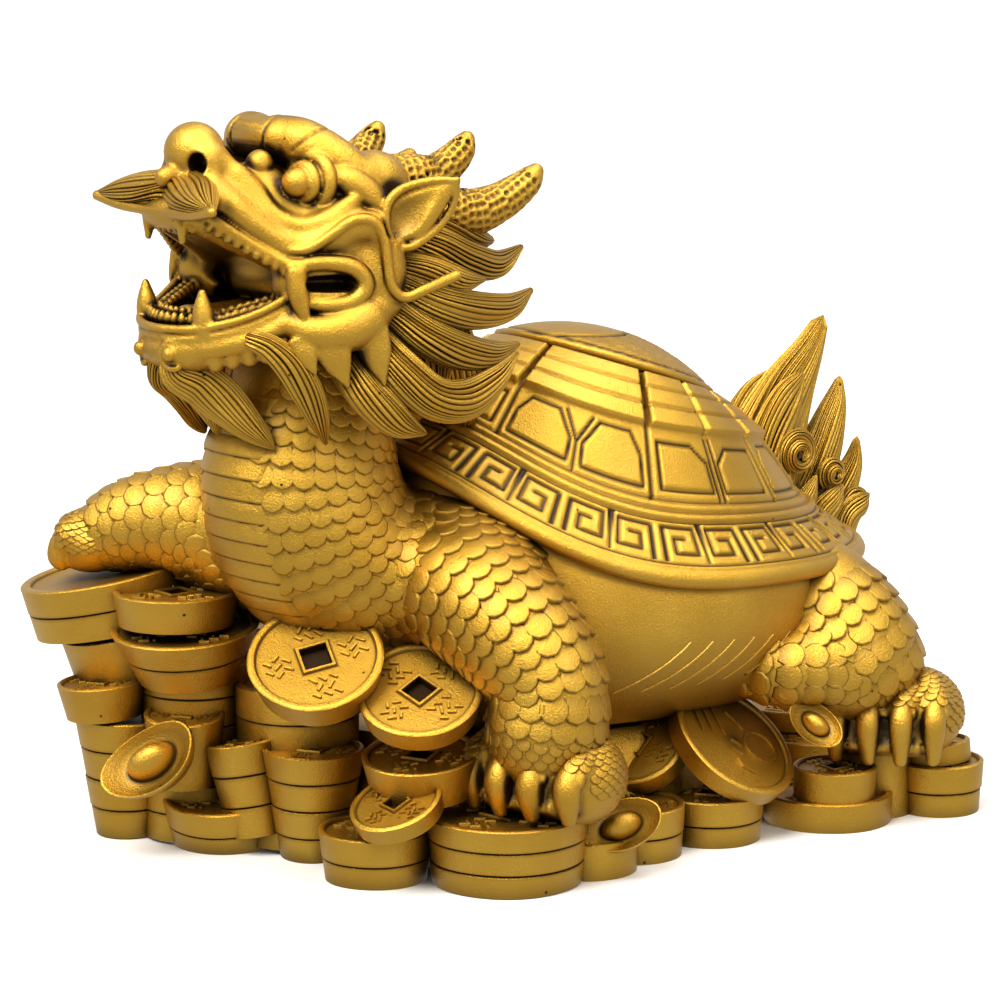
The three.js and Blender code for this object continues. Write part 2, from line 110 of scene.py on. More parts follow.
def soft_min(a, b, blend):
    """The nearer of two surfaces, with a fillet of about the blend's size where they meet."""
    overlap = np.maximum(blend - np.abs(a - b), 0)
    return np.minimum(a, b) - overlap * overlap * (0.25 / blend)


def along_run(run):
    """How far along a run each of its places is."""
    return np.concatenate([[0], np.cumsum(np.linalg.norm(np.diff(run, axis=0), axis=1))])


def mirrored(stations, side):
    """Stations on the left side for 1, and on the right for -1."""
    return [(side * row[0], *row[1:]) for row in stations]


class Sculpt:
    """A block of space, in drawn millimetres, that holds the distance to a surface."""

    def __init__(self, low, high, step):
        self.low = np.array(low, float)
        self.step = step
        shape = np.ceil((np.array(high, float) - self.low) / step).astype(int) + 1
        self.field = np.full(shape, FAR, np.float32)

    def block(self, low, high):
        """The slices and coordinates of the part between two corners, or None outside."""
        first = np.maximum(np.floor((low - self.low) / self.step).astype(int), 0)
        last = np.minimum(np.ceil((high - self.low) / self.step).astype(int) + 1, self.field.shape)
        if np.any(last <= first):
            return None
        axes = [
            (self.low[i] + self.step * np.arange(first[i], last[i])).astype(np.float32) for i in range(3)
        ]
        return tuple(slice(a, b) for a, b in zip(first, last)), np.meshgrid(
            *axes, indexing="ij", sparse=True
        )

    def join(self, slices, near, blend, cut):
        """Adds a form to the surface, or cuts it away."""
        held = self.field[slices]
        self.field[slices] = -soft_min(-held, near, blend) if cut else soft_min(held, near, blend)

    def ball(self, centre, half, blend=1.0, cut=False):
        """An egg with half sizes along X, Y and Z."""
        half = np.broadcast_to(np.array(half, float), 3)
        reach = half.max() + blend + 2 * self.step
        part = self.block(np.array(centre) - reach, np.array(centre) + reach)
        if part is None:
            return
        offsets = [axis - float(c) for axis, c in zip(part[1], centre)]
        k0 = np.sqrt(sum((offsets[i] / float(half[i])) ** 2 for i in range(3)))
        k1 = np.sqrt(sum((offsets[i] / float(half[i] ** 2)) ** 2 for i in range(3)))
        near = np.where(k0 < 1, (k0 - 1) * float(half.min()), k0 * (k0 - 1) / np.maximum(k1, 1e-6))
        self.join(part[0], near, blend, cut)

    def limb(self, stations, blend=1.0, cut=False, flat=(0, 0, 1), steps=4):
        """A limb or a groove through stations, thin along flat."""
        run = spline(stations, steps)
        across, through = limb_frames(run, flat)
        margin = blend + 2 * self.step + 0.4
        reach = run[:, 3:].max() + margin
        whole = self.block(run[:, :3].min(0) - reach, run[:, :3].max(0) + reach)
        if whole is None:
            return
        near = np.full(self.field[whole[0]].shape, FAR, np.float32)
        for i in range(len(run) - 1):
            ends = run[i : i + 2]
            reach = ends[:, 3:].max() + margin
            part = self.block(ends[:, :3].min(0) - reach, ends[:, :3].max(0) + reach)
            if part is None:
                continue
            inner = tuple(slice(s.start - w.start, s.stop - w.start) for s, w in zip(part[0], whole[0]))
            distance = self.piece_of_limb(part[1], ends, across[i : i + 2], through[i : i + 2])
            near[inner] = np.minimum(near[inner], distance)
        self.join(whole[0], near, blend, cut)

    @staticmethod
    def piece_of_limb(axes, ends, across, through):
        """Distance to one stretch of a limb."""
        start = ends[0, :3]
        way = ends[1, :3] - start
        length = float(np.linalg.norm(way)) + 1e-9
        x, y, z = (axis - float(s) for axis, s in zip(axes, start))

        def towards(vector):
            return x * float(vector[0]) + y * float(vector[1]) + z * float(vector[2])

        raw = towards(way) / (length * length)
        share = np.clip(raw, 0, 1)
        beyond = (raw - share) * length

        def part_along(first, last):
            turn = last - first
            fixed = float(way @ first)
            turned = float(way @ turn)
            return towards(first) - share * fixed + share * (towards(turn) - share * turned)

        wide = float(ends[0, 3]) + share * float(ends[1, 3] - ends[0, 3])
        thick = float(ends[0, 4]) + share * float(ends[1, 4] - ends[0, 4])
        tip = np.minimum(wide, thick)
        u = part_along(across[0], across[1]) / wide
        v = part_along(through[0], through[1]) / thick
        t = beyond / tip
        k0 = np.sqrt(u * u + v * v + t * t)
        k1 = np.sqrt((u / wide) ** 2 + (v / thick) ** 2 + (t / tip) ** 2)
        return np.where(k0 < 1, (k0 - 1) * tip, k0 * (k0 - 1) / np.maximum(k1, 1e-6))

    def ring(self, centre, axis, radius, thick, blend=0.3, cut=False, arc=(0, 360)):
        """A round bead about an axis, or the part of it between two angles."""
        axis = unit_rows(np.array(axis, float))
        side = unit_rows(np.cross(axis, (0.0, 0.0, 1.0)))
        up = np.cross(side, axis)
        count = max(6, int(abs(arc[1] - arc[0]) / 18))
        angles = np.radians(np.linspace(arc[0], arc[1], count + 1))
        places = [np.array(centre) + radius * (math.cos(a) * side + math.sin(a) * up) for a in angles]
        self.limb([(*p, thick, thick) for p in places], blend, cut, flat=axis, steps=2)

    def line(self, path, size, blend=0.15):
        """A groove through points, moved to lie on the surface."""
        run = spline([(*point, size) for point in path], 6)
        spots = run[:, :3]
        for _ in range(4):
            spots = spots - self.outward(spots) * self.sample(spots)[:, None]
        self.limb(np.column_stack([spots, run[:, 3:]]), blend, cut=True, steps=1)

    def sample(self, places):
        """Distance at places in the block, read between its nodes."""
        at = np.clip((places - self.low) / self.step, 0, np.array(self.field.shape) - 1.001)
        first = at.astype(int)
        t = at - first
        total = 0
        for corner in np.ndindex(2, 2, 2):
            weight = np.prod(np.where(corner, t, 1 - t), axis=1)
            total = total + weight * self.field[tuple((first + corner).T)]
        return total

    def outward(self, places):
        """Unit vectors away from the surface at places in the block."""
        slope = [self.sample(places + s) - self.sample(places - s) for s in self.step * np.eye(3)]
        return unit_rows(np.array(slope).T)

    def surface(self):
        """Corners and quads of the surface, closed where it meets the edge of the block."""
        grid = openvdb.FloatGrid(FAR)
        grid.copyFromArray(np.pad(self.field, 1, constant_values=FAR))
        points, quads = grid.convertToQuads(0.0)
        return self.low + (points.astype(float) - 1) * self.step, quads


# Meshes.


def mark(mesh, key, values):
    """Gives each point of a mesh a value of its own."""
    layer = mesh.attributes.new(key, "FLOAT", "POINT")
    layer.data.foreach_set("value", np.asarray(values, np.float32))


def placed(name, data):
    """A new object in the scene, at the origin."""
    item = bpy.data.objects.new(name, data)
    bpy.context.scene.collection.objects.link(item)
    return item


def new_piece(name, points, faces, hollow=None):
    """A smooth piece from drawn millimetres: faces are one array, or a list of arrays."""
    groups = faces if isinstance(faces, list) else [faces]
    groups = [np.asarray(group, np.int32) for group in groups if len(group)]
    loops = np.concatenate([group.ravel() for group in groups])
    sizes = np.concatenate([np.full(len(group), group.shape[1], np.int32) for group in groups])
    starts = np.concatenate([[0], np.cumsum(sizes)[:-1]]).astype(np.int32)
    mesh = bpy.data.meshes.new(name)
    mesh.vertices.add(len(points))
    mesh.vertices.foreach_set("co", (np.asarray(points) * UNIT).astype(np.float32).ravel())
    mesh.loops.add(len(loops))
    mesh.loops.foreach_set("vertex_index", loops)
    mesh.polygons.add(len(starts))
    mesh.polygons.foreach_set("loop_start", starts)
    mesh.polygons.foreach_set("use_smooth", np.full(len(starts), True))
    mesh.update(calc_edges=True)
    mesh.validate()
    if hollow is not None:
        mark(mesh, "hollow", hollow)
    return placed(name, mesh)


def finish_piece(piece):
    """Gives a piece the gold finish and sets it on the frame."""
    if not piece.data.materials:
        piece.data.materials.append(antique_gold())
    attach(piece, "root")
    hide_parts(NODE)
    return piece


def thinned(piece, most):
    """Brings a piece down to a number of triangles, fewest where it is smooth."""
    count = 2 * len(piece.data.polygons)
    if count > most:
        thin = piece.modifiers.new("thin", "DECIMATE")
        thin.ratio = most / count
        graph = bpy.context.evaluated_depsgraph_get()
        piece.data = bpy.data.meshes.new_from_object(piece.evaluated_get(graph))
        piece.modifiers.clear()
        piece.data.name = piece.name
        piece.data.polygons.foreach_set("use_smooth", np.full(len(piece.data.polygons), True))


def mark_wash_and_painted_shade(piece, sculpt):
    """Gives each corner a value from 0 to 1 for how closely the surface folds in round it."""
    mesh = piece.data
    count = len(mesh.vertices)
    places = np.empty(count * 3, np.float32)
    outward = np.empty(count * 3, np.float32)
    mesh.vertices.foreach_get("co", places)
    mesh.vertex_normals.foreach_get("vector", outward)
    places = places.reshape(-1, 3) / UNIT
    outward = outward.reshape(-1, 3)
    hollow = np.zeros(count)
    # Painted shade and wash: the value darkens the finish where the surface folds in, as patina and as the
    # shade the folds would hold.
    for reach in (0.6, 1.2, 2.2, 4.0):
        free = sculpt.sample(places + outward * reach) / reach
        hollow = np.maximum(hollow, np.clip((0.82 - free) / 0.62, 0, 1))
    mark(mesh, "hollow", hollow)


def sculpted_piece(name, sculpt):
    """A sculpt as a finished piece, with its faces turned outwards."""
    points, quads = sculpt.surface()
    corners = points[quads]
    volume = np.einsum("ij,ij->i", corners[:, 0], np.cross(corners[:, 1], corners[:, 2])).sum()
    if volume < 0:
        quads = quads[:, ::-1]
    piece = new_piece(name, points, quads)
    thinned(piece, MOST[name])
    mark_wash_and_painted_shade(piece, sculpt)
    return finish_piece(piece)


def sheet_faces(rows, columns):
    """Quads of a grid of rows that closes round its columns."""
    row = np.arange(rows - 1)[:, None] * columns
    column = np.arange(columns)[None, :]
    after = (column + 1) % columns
    quads = np.stack([row + column, row + after, row + columns + after, row + columns + column], -1)
    return quads.reshape(-1, 4)


def closed_rows(rows, flip=False):
    """Points and faces of rings of points, closed by a centre point at each end."""
    rows = np.asarray(rows, float)
    count, columns = rows.shape[:2]
    points = np.vstack([rows.reshape(-1, 3), rows[0].mean(0), rows[-1].mean(0)])
    quads = sheet_faces(count, columns)
    ring = np.arange(columns)
    after = (ring + 1) % columns
    last = (count - 1) * columns
    caps = np.vstack(
        [
            np.stack([np.full(columns, count * columns), after, ring], -1),
            np.stack([np.full(columns, count * columns + 1), last + ring, last + after], -1),
        ]
    )
    if flip:
        quads = quads[:, ::-1]
        caps = caps[:, ::-1]
    return points, quads, caps


class Gathered:
    """Points, faces and hollow values of many forms that become one piece: the values darken the finish
    with wash, and with painted shade in places.
    """

    def __init__(self):
        self.points = []
        self.quads = []
        self.triangles = []
        self.hollow = []
        self.count = 0

    def add(self, points, quads=(), triangles=(), hollow=None):
        """Takes in one form."""
        if len(quads):
            self.quads.append(np.asarray(quads) + self.count)
        if len(triangles):
            self.triangles.append(np.asarray(triangles) + self.count)
        self.points.append(points)
        self.hollow.append(np.zeros(len(points)) if hollow is None else hollow)
        self.count += len(points)

    def piece(self, name):
        """All forms as one finished piece, level with the floor where they reach below it."""
        faces = [np.vstack(group) for group in (self.quads, self.triangles) if group]
        points = np.vstack(self.points)
        points[:, 2] = np.maximum(points[:, 2], 0)
        piece = new_piece(name, points, faces, np.concatenate(self.hollow))
        piece.data.set_sharp_from_angle(angle=math.radians(35))
        return finish_piece(piece)


def lock(gathered, stations, flat, pitch=0.95, steps=7, twist=0.0, seed=1):
    """A lock of hair: a tapering sweep, carved into round strands that meet at its tip."""
    run = spline(stations, steps)
    across, through = limb_frames(run, flat)
    tip = run[-1:].copy()
    tip[0, :3] += np.cross(across[-1], through[-1]) * tip[0, 3]
    tip[0, 3:] = 0.12
    run = np.vstack([run, tip])
    across = np.vstack([across, across[-1:]])
    through = np.vstack([through, through[-1:]])
    size = (run[:, 3] + run[:, 4]) / 2
    count = max(3, int(2 * math.pi * size.max() / pitch))
    rng = np.random.default_rng(seed)
    widths = rng.uniform(0.6, 1.4, count)
    widths = 2 * math.pi * widths / widths.sum()
    starts = np.cumsum(widths) - widths
    # Four columns a strand: groove, flank, crown and flank.
    angle = (starts[:, None] + widths[:, None] * np.array([0, 0.22, 0.5, 0.78])).ravel()
    sunk = np.tile([1.0, 0.22, 0.0, 0.22], count)
    depth = 0.46 * np.repeat(widths * rng.choice([0.7, 1, 1.2, 2.1], count), 4)
    place = np.linspace(0, 1, len(run))[:, None]
    turned = angle + twist * place + 0.12 * np.sin(6 * place + 2 * angle)
    lobes = 0.1 * (np.abs(np.cos(2.5 * angle + seed)) - 1)
    out = 1 + lobes - sunk * depth
    spots = run[:, None, :3] + across[:, None] * (run[:, 3:4] * out * np.cos(turned))[..., None]
    spots = spots + through[:, None] * (run[:, 4:5] * out * np.sin(turned))[..., None]
    points, quads, caps = closed_rows(spots)
    dark = np.tile(np.tile([0.95, 0.12, 0.0, 0.12], count), len(run))
    gathered.add(points, quads, caps, np.append(dark, [0, 0]))


# Materials.

METRE = 1000.0


def linear(code):
    """An sRGB hex colour as linear values."""
    parts = [int(code[i : i + 2], 16) / 255 for i in (0, 2, 4)]
    return [c / 12.92 if c <= 0.04045 else ((c + 0.055) / 1.055) ** 2.4 for c in parts] + [1.0]


def add_node(tree, kind, inputs=None, **settings):
    """Adds a node with its settings, and values or links for its inputs."""
    node = tree.nodes.new(kind)
    for key, value in settings.items():
        setattr(node, key, value)
    for key, value in (inputs or {}).items():
        if isinstance(value, bpy.types.NodeSocket):
            tree.links.new(value, node.inputs[key])
        else:
            node.inputs[key].default_value = value
    return node


def mixed(tree, factor, first, second):
    """A colour between two others."""
    inputs = {"Factor": factor, "A": first, "B": second}
    return add_node(tree, "ShaderNodeMix", inputs, data_type="RGBA").outputs["Result"]


def spread(tree, value, low, high, first, last):
    """A value from first to last, as another goes from low to high."""
    inputs = {"Value": value, "From Min": low, "From Max": high, "To Min": first, "To Max": last}
    return add_node(tree, "ShaderNodeMapRange", inputs).outputs["Result"]


def noise(tree, place, size, detail, roughness=0.5):
    """Even noise with forms of a size in millimetres."""
    inputs = {"Vector": place, "Scale": METRE / size, "Detail": detail, "Roughness": roughness}
    return add_node(tree, "ShaderNodeTexNoise", inputs).outputs["Fac"]


def new_material(name):
    """A material with an empty shader tree and its output."""
    material = bpy.data.materials.new(name)
    material.use_nodes = True
    material.node_tree.nodes.clear()
    return material, material.node_tree


def antique_gold():
    """Brass-gold metallic lacquer over a cast body, rubbed back by hand.

    The high places are bright and smooth, the hollows keep a dark brown wash that is also painted
    shade, and the metal flake gives a fine grain.
    """
    found = bpy.data.materials.get("antique_gold_casting")
    if found:
        return found
    look = bpy.context.scene.dragon_turtle_finish
    material, tree = new_material("antique_gold_casting")
    place = add_node(tree, "ShaderNodeTexCoord").outputs["Object"]
    wash = linear(look.wash)

    # Cloudy change between a paler and a deeper gold, 18 mm across.
    gold = mixed(tree, noise(tree, place, 18, 3.0), linear(look.deep), linear(look.bright))
    # Hollows keep the wash, and painted shade with it: where what lies within 6 mm shuts out the light,
    # the colour goes towards the wash.
    occlusion_shade = add_node(tree, "ShaderNodeAmbientOcclusion", {"Distance": 0.006}, samples=4)
    hollow = spread(tree, occlusion_shade.outputs["AO"], 0.1, 0.85, 1.0, 0.0)
    # The carving's own lines hold it too, from each point's value: patina wash in grooves, and painted
    # shade on scale roots, folds and the lower flank.
    wash_and_shade_values = add_node(tree, "ShaderNodeAttribute", attribute_name="hollow").outputs["Fac"]
    held = add_node(tree, "ShaderNodeMath", {0: hollow, 1: wash_and_shade_values}, operation="MAXIMUM").outputs[0]
    washed_and_shaded = mixed(tree, held, gold, wash)
    # Pinholes of trapped air, under half a millimetre wide and about 9 mm apart.
    holes = add_node(tree, "ShaderNodeTexVoronoi", {"Vector": place, "Scale": METRE / 9})
    colour = mixed(tree, spread(tree, holes.outputs["Distance"], 0.025, 0.05, 1.0, 0.0), washed_and_shaded, wash)
    # Flake grain, 0.45 mm, drawn a little coarser than real flake so that it shows.
    grain = noise(tree, place, 0.45, 3.0, 0.7)
    # The cast surface's own soft lumps, 3.5 mm across.
    lumps = noise(tree, place, 3.5, 2.0)
    # Rubbed places shine more than the grain's low places, and the wash is dull.
    rough = spread(tree, grain, 0.3, 0.7, 0.26, 0.42)
    duller = add_node(tree, "ShaderNodeMath", {0: held, 1: 0.3, 2: rough}, operation="MULTIPLY_ADD")
    cast = add_node(tree, "ShaderNodeBump", {"Height": lumps, "Distance": 0.0006, "Strength": 0.18})
    flake = {"Height": grain, "Distance": 0.00025, "Strength": 0.8, "Normal": cast.outputs["Normal"]}
    inputs = {
        "Base Color": colour,
        "Metallic": 1.0,
        "Coat Weight": 0.3,
        "Coat Roughness": 0.35,
        "Roughness": duller.outputs[0],
        "Normal": add_node(tree, "ShaderNodeBump", flake).outputs["Normal"],
    }
    shader = add_node(tree, "ShaderNodeBsdfPrincipled", inputs)
    add_node(tree, "ShaderNodeOutputMaterial", {"Surface": shader.outputs["BSDF"]})
    return material


def studio_floor():
    """Matt white laminate board, smooth and pale, which throws soft light back up."""
    found = bpy.data.materials.get("matt_white_board")
    if found:
        return found
    material, tree = new_material("matt_white_board")
    place = add_node(tree, "ShaderNodeTexCoord").outputs["Object"]
    # Slight unevenness, 500 mm across.
    colour = mixed(tree, noise(tree, place, 500, 2.0), linear("f4f4f2"), linear("f8f8f6"))
    shader = add_node(tree, "ShaderNodeBsdfPrincipled", {"Base Color": colour, "Roughness": 0.7})
    add_node(tree, "ShaderNodeOutputMaterial", {"Surface": shader.outputs["BSDF"]})
    return material


# Body: neck, chest and legs.

NECK = [
    (0, -34, 56, 26, 19),
    (0, -50, 62.4, 25.6, 19.6),
    (0, -60, 71, 22.5, 21),
    (0, -64, 85, 20, 20.5),
    (0, -61, 100, 18, 18),
    (0, -55, 118, 17, 17),
]
LEFT_FORELEG = [
    (18, -42, 64, 14, 15),
    (30, -41, 60, 14, 15),
    (41, -38, 53, 13.5, 14),
    (48, -35, 43, 12.5, 12.5),
    (48.5, -35.6, 33, 12.6, 12.6),
    (47, -34.4, 26, 11, 9),
]
RIGHT_FORELEG = [
    (-14, -52, 62, 17, 17),
    (-29, -64, 68, 14, 14.5),
    (-38, -73, 69.5, 11, 11.5),
    (-47, -79.5, 67, 9, 9),
    (-53.4, -84, 63.8, 6.4, 5),
]
THIGH = [
    (26, 45, 52, 14, 16),
    (41, 48, 48, 14, 16),
    (50, 53, 38, 13, 14),
    (50, 57.6, 28.5, 9.8, 10.8),
    (48.5, 60.5, 22.5, 7.5, 7.5),
]
KNEE = [
    (30, 26, 40, 9, 9),
    (46, 32, 37, 10, 9),
    (50, 46, 36, 12, 12),
]


@lru_cache(maxsize=None)
def body_form():
    """Neck, chest and legs, before scales."""
    form = Sculpt((-76, -102, 8), (76, 84, 122), 1.1)
    form.limb(NECK, blend=4, flat=(0, 1, 0))
    form.ball((0, -30, 60), (38, 26, 22), blend=4)
    form.limb(LEFT_FORELEG, blend=4, flat=(0, 1, 0))
    form.limb(RIGHT_FORELEG, blend=4)
    for side in SIDES:
        form.limb(mirrored(THIGH, side), blend=4, flat=(0, 1, 0))
        form.limb(mirrored(KNEE, side), blend=4)
    return form


def paw(form, x, y, z, heading, half, deep, high, fall, toes=4):
    """A broad foot with oval claws down its front, each under a hood of skin."""
    cos, sin = math.cos(math.radians(heading)), math.sin(math.radians(heading))

    def at(along, ahead, up):
        return (x - sin * along + cos * ahead, y + cos * along + sin * ahead, z + up)

    for ahead, up, thick, blend in ((0, 0, high, 3), (1, -fall * 0.6, 3, 2)):
        form.limb([(*at(half * end, ahead, up), deep, thick) for end in (-0.5, 0.5)], blend=blend)
    pitch = 2 * half / toes
    rise = high * 0.42
    for toe in range(toes):
        along = (toe - (toes - 1) / 2) * pitch
        front = deep * math.sqrt(max(0.3, 1 - (along / (half * 1.25)) ** 2))
        knuckle = [
            (*at(along * 0.8, front * 0.3, high * 0.66), 3.4),
            (*at(along, front * 0.8, high * 0.36), 3.6),
        ]
        form.limb(knuckle, blend=1.5)
        hood = at(along, front + 0.9, rise - 2.4)
        form.ring(hood, (cos, sin, 0.45), pitch * 0.36, 0.9, blend=0.8, arc=(-5, 185))
        claw = [
            (*at(along, front * 0.9, rise + 0.4), pitch * 0.24, 1.7),
            (*at(along, front + 1.2, rise - 2.4), pitch * 0.36, 2.7),
            (*at(along, front + 1.9, rise - 5.8), pitch * 0.37, 2.7),
            (*at(along, front + 1.0, 1.2 - fall), pitch * 0.22, 1.6),
        ]
        form.limb(claw, blend=0.15, flat=(cos, sin, 0), steps=5)


# Each paw: middle x, y and z, heading in degrees, half width, depth, height, how far the claws
# reach down, and the number of toes where it isn't four.
PAWS = [
    (46.4, -33.6, 23.4, -74, 16.2, 10.4, 10, 7.8),
    (53, 58.8, 24, -46, 14.4, 10, 10, 9.8),
    (-53, 58.8, 24, 226, 14.4, 10, 10, 9.8),
]
HELD_OUT_PAW = (-51.6, -82.4, 64.4, 222, 8, 6.8, 5.6, 6.4, 3)


@lru_cache(maxsize=None)
def paws_form():
    """The four paws."""
    form = Sculpt((-74, -102, 6), (76, 84, 76), 0.56)
    for sizes in PAWS:
        paw(form, *sizes)
    paw(form, *HELD_OUT_PAW)
    return form


# Head.


def lip_loop(form, side):
    """The upper lip's bead, which runs back from the muzzle and loops round a slot in the cheek."""
    bead = [
        (10, -93.4, 142.2, 1.2),
        (13, -89.0, 138.6, 1.3),
        (16, -84.6, 135.2, 1.4),
        (19, -81.0, 132.6, 1.5),
        (21, -78.9, 131.8, 1.6),
        (24, -74.4, 132.4, 1.7),
        (26.8, -69.1, 131.4, 1.8),
        (27.9, -66.6, 128, 1.8),
        (27.2, -68.8, 124.7, 1.8),
        (25.2, -73.8, 123.7, 1.7),
        (22.4, -78.0, 124.4, 1.4),
    ]
    form.limb(mirrored(bead, side), blend=0.4, steps=5)


def moustache_cord(form, side):
    """The thin cord that runs from the muzzle over the cheek to the mane."""
    cord = [
        (9.6, -89.4, 146.8),
        (12.5, -86.6, 143.7),
        (15.2, -84.0, 138.8),
        (18.2, -81.1, 135.6),
        (21.7, -77.3, 135.0),
        (24.7, -73.2, 137.9),
        (26.7, -69.1, 140.9),
        (28.3, -65.1, 140.7),
        (29.4, -63.1, 137.2),
        (30, -62.7, 132.3),
        (30.5, -62.1, 127.5),
        (31.5, -59.5, 124.9),
        (33.5, -55.4, 126.5),
        (34, -48.0, 128.8),
    ]
    form.limb(mirrored([(*point, 1.15) for point in cord], side), blend=0.4, steps=5)
    fold = [
        (7, -86.6, 152),
        (11, -83, 147),
        (14.5, -80.6, 142.4),
        (18.4, -76.6, 139.8),
        (22, -71.8, 141.2),
        (23.6, -66.6, 144.6),
    ]
    form.limb(mirrored([(*point, 1.7) for point in fold], side), blend=1.6, steps=5)


def face_skin(form, side):
    """The skin that carries the cords: from the brow down to the jaw, and behind the mouth."""
    under_cord = [
        (12.6, -81.9, 139, 3),
        (15.6, -79, 136, 3.4),
        (19.1, -75.2, 135.6, 3.6),
        (22.1, -71.1, 137.5, 3.6),
        (24.2, -67, 139.3, 3.6),
        (25.8, -63, 139, 3.5),
        (26.6, -61, 135.6, 3.6),
        (27, -60.4, 130, 3.8),
        (26.4, -61, 124, 4),
    ]
    form.limb(mirrored(under_cord, side), blend=2, steps=4)
    form.ball((20 * side, -68, 134), (5.8, 5, 6), blend=2)
    under_fold = [
        (6, -78, 146.4, 6),
        (11, -75.5, 142.2, 5.4),
        (15.5, -72, 139.5, 5.2),
        (19.5, -67.5, 141, 4.6),
    ]
    form.limb(mirrored(under_fold, side), blend=2, steps=4)
    by_nose = [(8, -85, 149, 3), (9.5, -83.5, 145.5, 3.6), (12, -82.5, 141.5, 3.2)]
    form.limb(mirrored(by_nose, side), blend=1.5, steps=4)
    by_lip = [
        (8, -91, 147, 3),
        (11.6, -88.2, 143.8, 2.8),
        (14.4, -84.8, 140, 2.4),
        (17.6, -80.4, 136.6, 1.8),
    ]
    form.limb(mirrored(by_lip, side), blend=2.6, steps=4)
    over_lip = [
        (9.5, -85, 141, 3.6),
        (12.5, -82.5, 138.6, 3.6),
        (15.5, -79.8, 135.6, 3.2),
        (18.6, -77.2, 133.4, 2.6),
    ]
    form.limb(mirrored(over_lip, side), blend=1.5, steps=4)
    corner = [(17.8, -78.4, 128.4, 3.0, 4.6), (15.5, -73, 128, 5, 7), (9, -68, 127.5, 8, 9)]
    form.limb(mirrored(corner, side), blend=2.4)


def eye(form, side):
    """A bulging eye that looks forwards, in two stepped lids."""
    axis = (0.22 * side, -0.96, 0.1)
    centre = np.array((15.6 * side, -73, 148))
    ahead = unit_rows(np.array(axis))
    form.limb([(8 * side, -62, 146.4, 6), (*(centre - ahead * 6.4), 6.6)], blend=1.2)
    form.ring(centre - ahead * 1.6, axis, 5.4, 1.6, blend=0.15)
    form.ball(centre - ahead * 4.6, (5.2, 5.2, 5.2), blend=0.2)
    form.ring(centre + ahead * 0.8, axis, 3.4, 1.35, blend=0.15)
    form.ball(centre + ahead * 2.6, (3.2, 3.2, 3.2), blend=0.1)
    form.ball((7.6 * side, -78.8, 151.4), (3, 3, 3.3), blend=0.3)


def brow(form):
    """Polished rolls over the eyes, parted by thin grooves."""
    form.limb([(-6, -72.6, 156.3, 4.6, 4.5), (6, -72.6, 156.3, 4.6, 4.5)], blend=0.6, flat=(0, 1, 0))
    for side in SIDES:
        roll = [
            (4.4, -71.6, 156.4, 4.9),
            (10, -69.4, 155.4, 5.3),
            (15.6, -65.4, 152, 5.0),
            (19, -61.6, 149, 4.0),
        ]
        form.limb(mirrored(roll, side), blend=0.3, flat=(0, 0.6, 0.8))
        lower = [
            (18.6, -67.6, 149.6, 2.4),
            (21.4, -65.2, 148, 3.2),
            (23.6, -62, 144.4, 3.2),
            (24.4, -60, 140, 2.4),
        ]
        form.limb(mirrored(lower, side), blend=0.3)
        form.ball((17 * side, -57, 147), (7, 8, 7), blend=1.5)
        form.ring((4.6 * side, -72, 156.3), (1 * side, 0.28, -0.06), 5.0, 0.38, blend=0.1, cut=True)
        form.line(mirrored([(12.6, -75, 154), (14.4, -70, 157.4), (13, -63, 159)], side), 0.34)


def muzzle(form):
    """Nose, nostrils, the palate and the combed lip that spreads to both sides under the nose."""
    bridge = [
        (0, -58, 141, 19, 13),
        (0, -72, 144.4, 14, 7.4),
        (0, -84, 146.4, 11, 4.8),
        (0, -92, 147.4, 9, 4.2),
    ]
    form.limb(bridge, blend=2.5)
    palate = [(0, -60, 128, 20, 9), (0, -74, 131, 17, 6), (0, -86, 137, 13, 4.6), (0, -96, 142, 9, 3.8)]
    form.limb(palate, blend=2.5)
    form.ball((0, -89.8, 154.2), (6.6, 6.2, 6.3), blend=1)
    for side in SIDES:
        form.ball((5.2 * side, -89.6, 152), (3.6, 4.8, 5), blend=0.8)
        hole = [
            (9.6, -98.4, 151.6, 2.3, 2.8),
            (6.9, -94.6, 151.9, 2.3, 2.8),
            (4.4, -90.4, 152.6, 1.6, 1.9),
        ]
        form.limb(mirrored(hole, side), blend=0.7, cut=True, flat=(0, 0, 1))
        leaf = [
            (0, -92.6, 146, 4, 2.8),
            (8, -94.2, 145.4, 4, 2.6),
            (15, -97, 144.8, 2.4, 1.6),
            (20, -99, 144.4, 0.9, 0.8),
        ]
        form.limb(mirrored(leaf, side), blend=0.6, steps=6)
    form.limb([(0, -93, 151, 2.2), (0, -97, 149.4, 2.2)], blend=1)
    rim = [
        (-21.4, -100, 144.2),
        (-14, -99.6, 143),
        (-6, -99, 142.6),
        (0, -98.8, 142.5),
        (6, -99, 142.6),
        (14, -99.6, 143),
        (21.4, -100, 144.2),
    ]
    form.limb([(*point, 1.1) for point in rim], blend=0.3, steps=6)


def moustache_piece():
    """The combed moustache, which spreads from the nose to a point on each side."""
    heap = Gathered()
    for side in SIDES:
        half = [
            (0.4, -93.6, 146.7, 4.8, 3.5),
            (3.6, -94.4, 146.9, 5.2, 3.6),
            (9.4, -96, 146.4, 5, 3.3),
            (15.6, -98, 145.5, 3.4, 2.4),
            (21.4, -99.8, 144.6, 0.8, 0.7),
        ]
        lock(heap, mirrored(half, side), (0, -0.5, 0.85), pitch=1.2, twist=0.45 * side, seed=11)
    return heap.piece("moustache")


